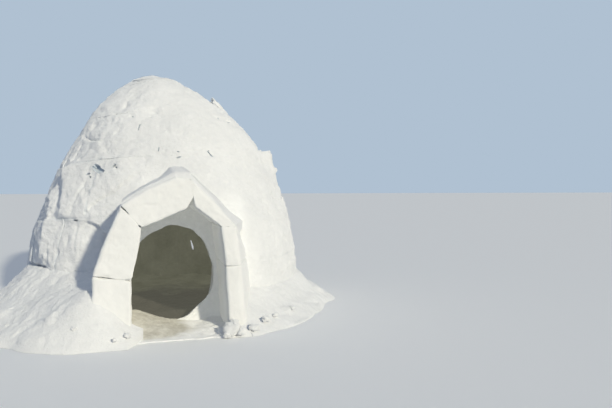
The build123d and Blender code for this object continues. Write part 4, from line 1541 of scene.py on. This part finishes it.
def snow_material(
    name, bright, dull, hollow, roughness, coarse, fine, patch, glow=NO_PAINTED_GLOW, far_painted_glow=NO_PAINTED_GLOW, deep=None
):
    """Snow: patches of two close tones with fine mottling, tinted hollows, grains and crust in the bump.

    Where a point is hollow its colour turns to the hollow tone: painted shade in the wall's joints, and
    the fresh snow's own white on the threshold. Where a point lies in the painted light zone its colour
    turns to that zone's tone, a painted shade. The painted glow is an emission that stands in for the
    daylight seeping through the snow to a face that no lamp reaches. The far painted glow is that of
    the points in the painted light zone, also painted light."""
    material = bpy.data.materials.new(name)
    material.use_nodes = True
    tree = material.node_tree
    shader = tree.nodes["Principled BSDF"]
    place = add_node(tree, "ShaderNodeTexCoord").outputs["Object"]
    hollows, depth = (
        add_node(tree, "ShaderNodeAttribute", {"attribute_name": layer}).outputs["Fac"]
        for layer in ("hollow", "deep")
    )
    patches = noise_texture(tree, place, patch, 6.0, 0.6)
    mottle = noise_texture(tree, place, 26.0, 4.0, 0.65)
    blend = add_node(tree, "ShaderNodeMath", {"operation": "MULTIPLY_ADD"}, {0: mottle, 1: 0.45, 2: patches})
    spread = {"Value": blend.outputs[0], "From Min": 0.50, "From Max": 0.95}
    spread = add_node(tree, "ShaderNodeMapRange", inputs=spread).outputs[0]
    tone = mixed_colour(tree, spread, (*bright, 1), (*dull, 1))
    # Painted shade in the wall's joints; on the threshold this channel holds fresh snow's own white
    tone = mixed_colour(tree, hollows, tone, (*hollow, 1))
    # Painted shade: points in the painted light zone turn to that zone's dark tone
    if deep is not None:
        tone = mixed_colour(tree, depth, tone, (*deep, 1))
    tree.links.new(tone, shader.inputs["Base Color"])
    worn = {"Value": mottle, "To Min": roughness - 0.12, "To Max": roughness + 0.12}
    worn = add_node(tree, "ShaderNodeMapRange", inputs=worn).outputs[0]
    tree.links.new(worn, shader.inputs["Roughness"])
    # Painted light: an emission that stands in for daylight seeping through the snow, with the far painted
    # glow in the painted light zone
    if max(glow + far_painted_glow) > 0:
        lighter, darker = [(*(share * part for part in glow), 1) for share in (1.3, 0.7)]
        painted_glow_tone = mixed_colour(tree, spread, lighter, darker)
        painted_glow_tone = mixed_colour(tree, depth, painted_glow_tone, (*far_painted_glow, 1))
        tree.links.new(painted_glow_tone, shader.inputs["Emission Color"])
        shader.inputs["Emission Strength"].default_value = 1.0
    shader.inputs["Specular IOR Level"].default_value = SNOW_SPECULAR
    shader.inputs["Diffuse Roughness"].default_value = SNOW_DIFFUSE_ROUGHNESS
    crust = noise_texture(tree, place, 34.0, 7.0, 0.62)
    grains = noise_texture(tree, place, 230.0, 3.0, 0.7)
    crumbs = {"Vector": place, "Scale": 62.0, "Smoothness": 0.6}
    crumbs = add_node(tree, "ShaderNodeTexVoronoi", {"feature": "SMOOTH_F1"}, crumbs).outputs["Distance"]
    normal = bump(tree, crust, coarse, 0.8)
    normal = bump(tree, crumbs, coarse * 0.4, 0.5, normal, sunk=True)
    normal = bump(tree, grains, fine, 0.7, normal)
    tree.links.new(normal, shader.inputs["Normal"])
    return material


# The finishes: colours and painted glows by their names in the colour settings, the shader's
# roughness, the bump of the crust and of the grains in metres, and the scale of the patches. The
# chinks, the wall's inner face and the floor inside are snow painted darker as shade, and the glows
# are painted light.
FINISHES = {
    "wall_snow": {
        "bright": "wall",
        "dull": "wall_dull",
        "hollow": "hollow",
        "roughness": 0.66,
        "coarse": 0.0100,
        "fine": 0.0018,
        "patch": 2.4,
        "far_painted_glow": "passage_glow",
    },
    "chink_snow": {
        "bright": "chink",
        "dull": "hollow",
        "hollow": "hollow",
        "roughness": 0.70,
        "coarse": 0.0060,
        "fine": 0.0016,
        "patch": 9.0,
    },
    "inner_snow": {
        "bright": "inside",
        "dull": "inside_dull",
        "hollow": "inside_dull",
        "roughness": 0.70,
        "coarse": 0.0080,
        "fine": 0.0016,
        "patch": 3.0,
        "glow": "glow",
        "far_painted_glow": "floor_glow",
    },
    "slab_snow": {
        "bright": "slab",
        "dull": "slab_dull",
        "hollow": "slab_dull",
        "roughness": 0.62,
        "coarse": 0.0030,
        "fine": 0.0012,
        "patch": 2.0,
        "far_painted_glow": "passage_glow",
    },
    "packed_snow": {
        "bright": "wall",
        "dull": "wall_dull",
        "hollow": "hollow",
        "roughness": 0.70,
        "coarse": 0.0110,
        "fine": 0.0022,
        "patch": 2.8,
    },
    "trampled_snow": {
        "bright": "trampled",
        "dull": "trampled_dull",
        "hollow": "wall",
        "roughness": 0.72,
        "coarse": 0.0100,
        "fine": 0.0022,
        "patch": 6.5,
        "far_painted_glow": "floor_glow",
        "deep": "floor_dull",
    },
    "floor_snow": {
        "bright": "inside",
        "dull": "inside_dull",
        "hollow": "inside",
        "roughness": 0.72,
        "coarse": 0.0120,
        "fine": 0.0022,
        "patch": 5.0,
        "glow": "glow",
        "far_painted_glow": "floor_glow",
        "deep": "floor_dull",
    },
}


def finish_named(name):
    """One of the snow finishes by name, made when it is first asked for.

    Its material has a name of its own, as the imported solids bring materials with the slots' names."""
    made = bpy.data.materials.get("finished_" + name)
    if made is None:
        colours = bpy.context.scene.igloo_colours
        recipe = {
            part: tuple(getattr(colours, value)) if isinstance(value, str) else value
            for part, value in FINISHES[name].items()
        }
        made = snow_material("finished_" + name, **recipe)
    return made


def colour_property(name, text, value):
    """A linear colour setting."""
    return FloatVectorProperty(
        name=name, description=text, subtype="COLOR", size=3, min=0, max=1, default=value
    )


def number_property(name, text, value):
    """A plain number setting."""
    return FloatProperty(name=name, description=text, default=value)


def length_property(name, text, value):
    """A length setting in metres."""
    return FloatProperty(name=name, description=text, unit="LENGTH", precision=4, default=value)


class IglooSizes(PropertyGroup):
    """Sizes of the snow's surface."""

    cell: length_property("Cell", "Spacing of the wall's surface points", 0.0105)
    bank_cell: length_property("Bank cell", "Spacing of the banks' surface points", 0.0135)
    joint_gap: length_property("Joint gap", "Open gap between neighbouring blocks", 0.0002)
    groove_width: length_property("Groove width", "Half width of the worn arris along a bare joint", 0.011)
    groove_depth: length_property("Groove depth", "Depth of the worn arris along a bare joint", 0.016)
    block_set: length_property("Block set", "How far a bare block may stand in or out", 0.013)
    block_tilt: number_property("Block tilt", "Rise of a bare block's face over its width", 0.05)
    swell: length_property("Swell", "Height of the broad swells of packed snow", 0.012)
    lumps: length_property("Lumps", "Height of hand-sized lumps", 0.0092)
    crumbs: length_property("Crumbs", "Height of small crumbs", 0.0038)
    rim_roll: length_property("Rim roll", "How far the wall rolls into the doorway", 0.018)
    bank_lumps: length_property("Bank lumps", "Height of the lumps on the banks", 0.016)
    seat: length_property("Seat", "How far porch pieces run into the wall", 0.035)
    seed: IntProperty(name="Seed", description="Draws the set and tilt of the blocks", default=7)


class IglooColours(PropertyGroup):
    """Colours of the snow."""

    wall: colour_property("Wall", "Bright tone of the wall and banks", (0.880, 0.887, 0.890))
    wall_dull: colour_property("Wall dull", "Dull tone of the wall and banks", (0.785, 0.795, 0.800))
    slab: colour_property("Slab", "Bright tone of the porch slabs", (0.895, 0.897, 0.885))
    slab_dull: colour_property("Slab dull", "Dull tone of the porch slabs", (0.840, 0.844, 0.830))
    # Painted shade: the blue-grey tone in the wall's joints, also the dull tone of the chinks
    hollow: colour_property("Hollow", "Tone in the joints", (0.62, 0.68, 0.74))
    # Painted shade: the tone of the faces cut by the chinks
    chink: colour_property("Chink", "Tone in the chinks cut into the wall", (0.62, 0.66, 0.70))
    # Painted shade: darker, warmer copies of the snow for the wall's inner face and the floor inside
    inside: colour_property("Inside", "Bright tone of the wall's inner face", (0.60, 0.61, 0.53))
    inside_dull: colour_property("Inside dull", "Dull tone of the wall's inner face", (0.49, 0.50, 0.43))
    # Painted light: an emission standing for daylight that seeps through the wall onto the inner face and
    # floor
    glow: colour_property("Glow", "Daylight that seeps through the wall", (0.056, 0.055, 0.044))
    # Painted light: an emission on the wall and slab faces inside the porch's passage
    passage_glow: colour_property("Passage glow", "Daylight in the passage", (0.078, 0.078, 0.068))
    # Painted light: an emission on the floor and the threshold just inside the doorway
    floor_glow: colour_property("Floor glow", "Daylight on the trodden floor", (0.076, 0.075, 0.060))
    trampled: colour_property("Threshold", "Bright tone of the trampled threshold", (0.74, 0.728, 0.670))
    trampled_dull: colour_property("Threshold dull", "Dull tone of the threshold", (0.50, 0.480, 0.425))
    # Painted shade: the near-black tone of the floor and threshold just inside the doorway
    floor_dull: colour_property("Floor dull", "Tone of the floor near the doorway", (0.055, 0.053, 0.045))


class IglooStage(PropertyGroup):
    """Camera, light and ground."""

    lens: number_property("Lens", "Focal length for a 36 mm sensor, in millimetres", 35.0)
    eye: FloatVectorProperty(
        name="Eye", description="Camera position", subtype="TRANSLATION", default=(-0.40292, -6.58769, 1.17)
    )
    aim: FloatVectorProperty(
        name="Aim", description="Camera direction", subtype="DIRECTION", default=(0.28335, 0.95864, -0.02688)
    )
    key_azimuth: number_property("Key azimuth", "Bearing of the key light, degrees", 289.5)
    key_height: number_property("Key height", "Height of the key light, degrees", 22.0)
    key_strength: number_property("Key strength", "Strength of the key light", 2.42)
    key_softness: number_property("Key softness", "Angle that the key light fills, degrees", 2.5)
    key_colour: colour_property("Key colour", "Colour of the key light", (1.0, 0.925, 0.74))
    fill_azimuth: number_property("Fill azimuth", "Bearing of the fill light, degrees", 270.0)
    fill_height: number_property("Fill height", "Height of the fill light, degrees", 68.0)
    fill_strength: number_property("Fill strength", "Strength of the fill light", 0.20)
    fill_softness: number_property("Fill softness", "Angle that the fill light fills, degrees", 50.0)
    fill_colour: colour_property("Fill colour", "Colour of the fill light", (1.0, 1.0, 1.0))
    ambient: colour_property("Ambient", "Light from all round", (0.16, 0.21, 0.30))
    backdrop: colour_property("Backdrop", "Background behind the object", (0.434, 0.533, 0.644))
    ground: colour_property("Ground", "Colour of the stage floor", (0.82, 0.83, 0.84))
    ground_seen: colour_property("Ground seen", "Light of the floor for the camera alone", (0.11, 0.11, 0.10))


def place_block_pieces(size):
    """All pieces of the spiral wall, with the doorway, the slit and the chinks cut through them.

    A block is cut by itself, by the cutters whose boxes meet its own, and then joined to its piece."""
    random = np.random.default_rng(size.seed)
    cuts = [(oval_cutter(), "wall_snow")]
    cuts += [(slit_cutter(*slit), "wall_snow") for slit in LIGHT_SLITS]
    # The chinks' cut faces take the chink finish, painted shade
    cuts += [(chink_cutter(*chink), "chink_snow") for chink in WALL_CHINKS]
    cutters = [(form[0], cutter_object(form, finish)) for form, finish in cuts]
    finishes = [finish_named("wall_snow"), finish_named("inner_snow")]
    for node, blocks in wall_blocks().items():
        whole, parts = [], []
        for first, last in blocks:
            form, groove, painted_passage_light = block_form(first, last, size, random)
            touching = [cutter for points, cutter in cutters if boxes_meet(form[0], points)]
            if touching:
                parts.append(mesh_object(node + "_block", [form], finishes, [groove], [painted_passage_light]))
                cut_away(parts[-1], touching)
            else:
                whole.append((form, groove, painted_passage_light))
        for k, chunk in enumerate(WALL_CHUNKS.get(node, [])):
            form = chunk_form(*chunk, 5 * k + 2, CHUNK_FALL)
            whole.append((form, np.zeros(len(form[0])), np.zeros(len(form[0]))))
        if whole:
            forms, hollow, deep = zip(*whole)
            parts.insert(0, mesh_object(node + "_block", forms, finishes, hollow, deep))
        finish_piece(joined(parts, node + "_snow"), node)
    remove_cutters([cutter for _, cutter in cutters])


def joined(objects, name):
    """The given objects made into the first of them, which gets the name."""
    if len(objects) > 1:
        with bpy.context.temp_override(active_object=objects[0], selected_editable_objects=objects):
            bpy.ops.object.join()
    objects[0].name = objects[0].data.name = name
    return objects[0]


class IGLOO_OT_wall(Operator):
    """Builds the spiral wall of blocks and cuts the doorway through it"""

    bl_idname = "igloo.wall"
    bl_label = "Wall blocks"

    def execute(self, context):
        place_block_pieces(context.scene.igloo_sizes)
        return {"FINISHED"}


class IGLOO_OT_king_block(Operator):
    """Builds the king block that closes the crown"""

    bl_idname = "igloo.king_block"
    bl_label = "King block"

    def execute(self, context):
        form = king_form(context.scene.igloo_sizes)
        make_piece("king_block", [form], [finish_named("wall_snow")])
        return {"FINISHED"}


class IGLOO_OT_porch(Operator):
    """Builds the upright and leaning slabs of the porch"""

    bl_idname = "igloo.porch"
    bl_label = "Porch slabs"

    def execute(self, context):
        # The slab chinks' cut faces take the chink finish, painted shade
        chinks = [cutter_object(slab_chink(*chink), "chink_snow") for chink in SLAB_CHINKS]
        finishes = [finish_named("slab_snow")]
        for node, corners in PORCH_SLABS.items():
            form, passage = slab_form(corners, context.scene.igloo_sizes)
            piece = mesh_object(node + "_snow", [form], finishes, deep=[passage])
            if node.startswith("left"):
                cut_away(piece, chinks)
            finish_piece(piece, node)
        remove_cutters(chinks)
        return {"FINISHED"}


class IGLOO_OT_saddle(Operator):
    """Builds the snow packed between the roof slabs and the dome"""

    bl_idname = "igloo.saddle"
    bl_label = "Saddle snow"

    def execute(self, context):
        size = context.scene.igloo_sizes
        left_bow = bowed(LEFT_SHOULDER, LEFT_CREST, 1.5 * SLAB_BOW)
        right_bow = bowed(RIDGE_TOP, RIGHT_SHOULDER, SLAB_BOW)
        right_end = (RIGHT_SHOULDER[0] - 0.01, RIGHT_SHOULDER[1] + 0.004)
        lines = {
            "left_saddle_snow": ([LEFT_SHOULDER, left_bow, LEFT_CREST, RIDGE_TOP], LEFT_CREASE),
            "right_saddle_snow": ([RIDGE_TOP, right_bow, right_end], RIGHT_CREASE),
        }
        for node, (roof, crease) in lines.items():
            form = saddle_form(roof, crease, size)
            make_piece(node, [form], [finish_named("packed_snow")])
        return {"FINISHED"}


class IGLOO_OT_banks(Operator):
    """Builds the packed snow banks round the foot and the heaps at the jambs"""

    bl_idname = "igloo.banks"
    bl_label = "Banks"

    def execute(self, context):
        size = context.scene.igloo_sizes
        for node, (start, end) in BANK_PIECES.items():
            forms = [bank_form(start, end, size, node.endswith("heap"))]
            forms += [chunk_form(*chunk, 7 * k + 3) for k, chunk in enumerate(CHUNKS.get(node, []))]
            make_piece(node, forms, [finish_named("packed_snow")], sharp=BANK_ARRIS)
        return {"FINISHED"}


class IGLOO_OT_threshold(Operator):
    """Builds the trampled threshold between the jambs"""

    bl_idname = "igloo.threshold"
    bl_label = "Threshold"

    def execute(self, context):
        form, fresh, deep = threshold_form()
        finishes = [finish_named("trampled_snow")]
        make_piece("threshold", [form], finishes, [fresh], [deep], BANK_ARRIS)
        return {"FINISHED"}


class IGLOO_OT_floor(Operator):
    """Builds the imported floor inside"""

    bl_idname = "igloo.floor"
    bl_label = "Packed floor"

    def execute(self, context):
        form, painted_floor_shade_share = floor_form()
        finishes = [finish_named("floor_snow")]
        make_piece("packed_floor", [form], finishes, deep=[painted_floor_shade_share], sharp=BANK_ARRIS)
        return {"FINISHED"}


class IGLOO_OT_stage(Operator):
    """Sets the camera, the light, the backdrop and the stage floor"""

    bl_idname = "igloo.stage"
    bl_label = "Stage"

    def execute(self, context):
        stage = context.scene.igloo_stage
        set_camera(stage)
        set_light(stage)
        set_ground(stage)
        context.scene.view_settings.view_transform = "Standard"
        return {"FINISHED"}


def set_camera(stage):
    """The camera at the photograph's viewing angle."""
    data = bpy.data.cameras.new("camera")
    data.sensor_width = 36.0
    data.lens = stage.lens
    data.clip_end = 500.0
    camera = bpy.data.objects.new("camera", data)
    bpy.context.scene.collection.objects.link(camera)
    camera.location = stage.eye
    camera.rotation_mode = "QUATERNION"
    camera.rotation_quaternion = stage.aim.to_track_quat("-Z", "Y")
    bpy.context.scene.camera = camera


def add_lamp(name, azimuth, height, strength, softness, colour):
    """A distant lamp that shines from a bearing and a height, both in degrees."""
    lamp = bpy.data.lights.new(name, "SUN")
    lamp.energy = strength
    lamp.angle = math.radians(softness)
    lamp.color = colour
    holder = bpy.data.objects.new(name, lamp)
    bpy.context.scene.collection.objects.link(holder)
    holder.rotation_mode = "XYZ"
    holder.rotation_euler = (math.pi / 2 - math.radians(height), 0.0, math.radians(azimuth) + math.pi / 2)


def set_light(stage):
    """A key light, a weak wide fill light and an even, slightly cool light from all round."""
    key = (stage.key_azimuth, stage.key_height, stage.key_strength, stage.key_softness)
    add_lamp("key", *key, stage.key_colour)
    fill = (stage.fill_azimuth, stage.fill_height, stage.fill_strength, stage.fill_softness)
    add_lamp("fill", *fill, stage.fill_colour)
    world = bpy.data.worlds.new("studio")
    bpy.context.scene.world = world
    world.use_nodes = True
    tree = world.node_tree
    tree.nodes.clear()
    rays = add_node(tree, "ShaderNodeLightPath").outputs
    seen = rays["Is Camera Ray"]
    for kind in ("Is Glossy Ray", "Is Transmission Ray"):
        seen = add_node(tree, "ShaderNodeMath", {"operation": "MAXIMUM"}, {0: seen, 1: rays[kind]}).outputs[0]
    ambient, backdrop = (
        add_node(tree, "ShaderNodeBackground", inputs={"Color": (*colour, 1), "Strength": 1.0}).outputs[0]
        for colour in (stage.ambient, stage.backdrop)
    )
    mixed = add_node(tree, "ShaderNodeMixShader", inputs={0: seen, 1: ambient, 2: backdrop})
    add_node(tree, "ShaderNodeOutputWorld", inputs={"Surface": mixed.outputs[0]})


# Half the width of the stage floor, and how far it lies below the object's foot
GROUND_HALF = 120.0
GROUND_DROP = 0.002


def set_ground(stage):
    """A wide plain floor just under the object."""
    mesh = bpy.data.meshes.new("stage_floor")
    ways = ((-1, -1), (1, -1), (1, 1), (-1, 1))
    corners = [(x * GROUND_HALF, y * GROUND_HALF, -GROUND_DROP) for x, y in ways]
    mesh.from_pydata(corners, [], [(0, 1, 2, 3)])
    mesh.update()
    ground = bpy.data.objects.new("stage_floor", mesh)
    bpy.context.scene.collection.objects.link(ground)
    material = bpy.data.materials.new("stage_floor")
    material.use_nodes = True
    shader = material.node_tree.nodes["Principled BSDF"]
    shader.inputs["Base Color"].default_value = (*stage.ground, 1)
    shader.inputs["Roughness"].default_value = 0.95
    shader.inputs["Specular IOR Level"].default_value = 0.0
    shader.inputs["Emission Color"].default_value = (*stage.ground_seen, 1)
    rays = add_node(material.node_tree, "ShaderNodeLightPath")
    material.node_tree.links.new(rays.outputs["Is Camera Ray"], shader.inputs["Emission Strength"])
    mesh.materials.append(material)


class IGLOO_PT_sidebar(Panel):
    """Lists the steps that build the igloo."""

    bl_label = "Igloo"
    bl_idname = "IGLOO_PT_sidebar"
    bl_space_type = "VIEW_3D"
    bl_region_type = "UI"
    bl_category = "Igloo"

    def draw(self, context):
        for operator in OPERATORS:
            self.layout.operator(operator.bl_idname)
        for group in (context.scene.igloo_sizes, context.scene.igloo_colours, context.scene.igloo_stage):
            for name in group.__annotations__:
                self.layout.prop(group, name)


OPERATORS = (
    IGLOO_OT_wall,
    IGLOO_OT_king_block,
    IGLOO_OT_porch,
    IGLOO_OT_saddle,
    IGLOO_OT_banks,
    IGLOO_OT_threshold,
    IGLOO_OT_floor,
    IGLOO_OT_stage,
)
CLASSES = (IglooSizes, IglooColours, IglooStage, *OPERATORS, IGLOO_PT_sidebar)


def register():
    for made in CLASSES:
        bpy.utils.register_class(made)
    bpy.types.Scene.igloo_sizes = PointerProperty(type=IglooSizes)
    bpy.types.Scene.igloo_colours = PointerProperty(type=IglooColours)
    bpy.types.Scene.igloo_stage = PointerProperty(type=IglooStage)


def unregister():
    del bpy.types.Scene.igloo_stage
    del bpy.types.Scene.igloo_colours
    del bpy.types.Scene.igloo_sizes
    for made in reversed(CLASSES):
        bpy.utils.unregister_class(made)


def main():
    """Registers the classes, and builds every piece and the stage."""
    register()
    bpy.ops.igloo.wall()
    bpy.ops.igloo.king_block()
    bpy.ops.igloo.porch()
    bpy.ops.igloo.saddle()
    bpy.ops.igloo.banks()
    bpy.ops.igloo.threshold()
    bpy.ops.igloo.floor()
    bpy.ops.igloo.stage()


if __name__ == "__main__":
    main()
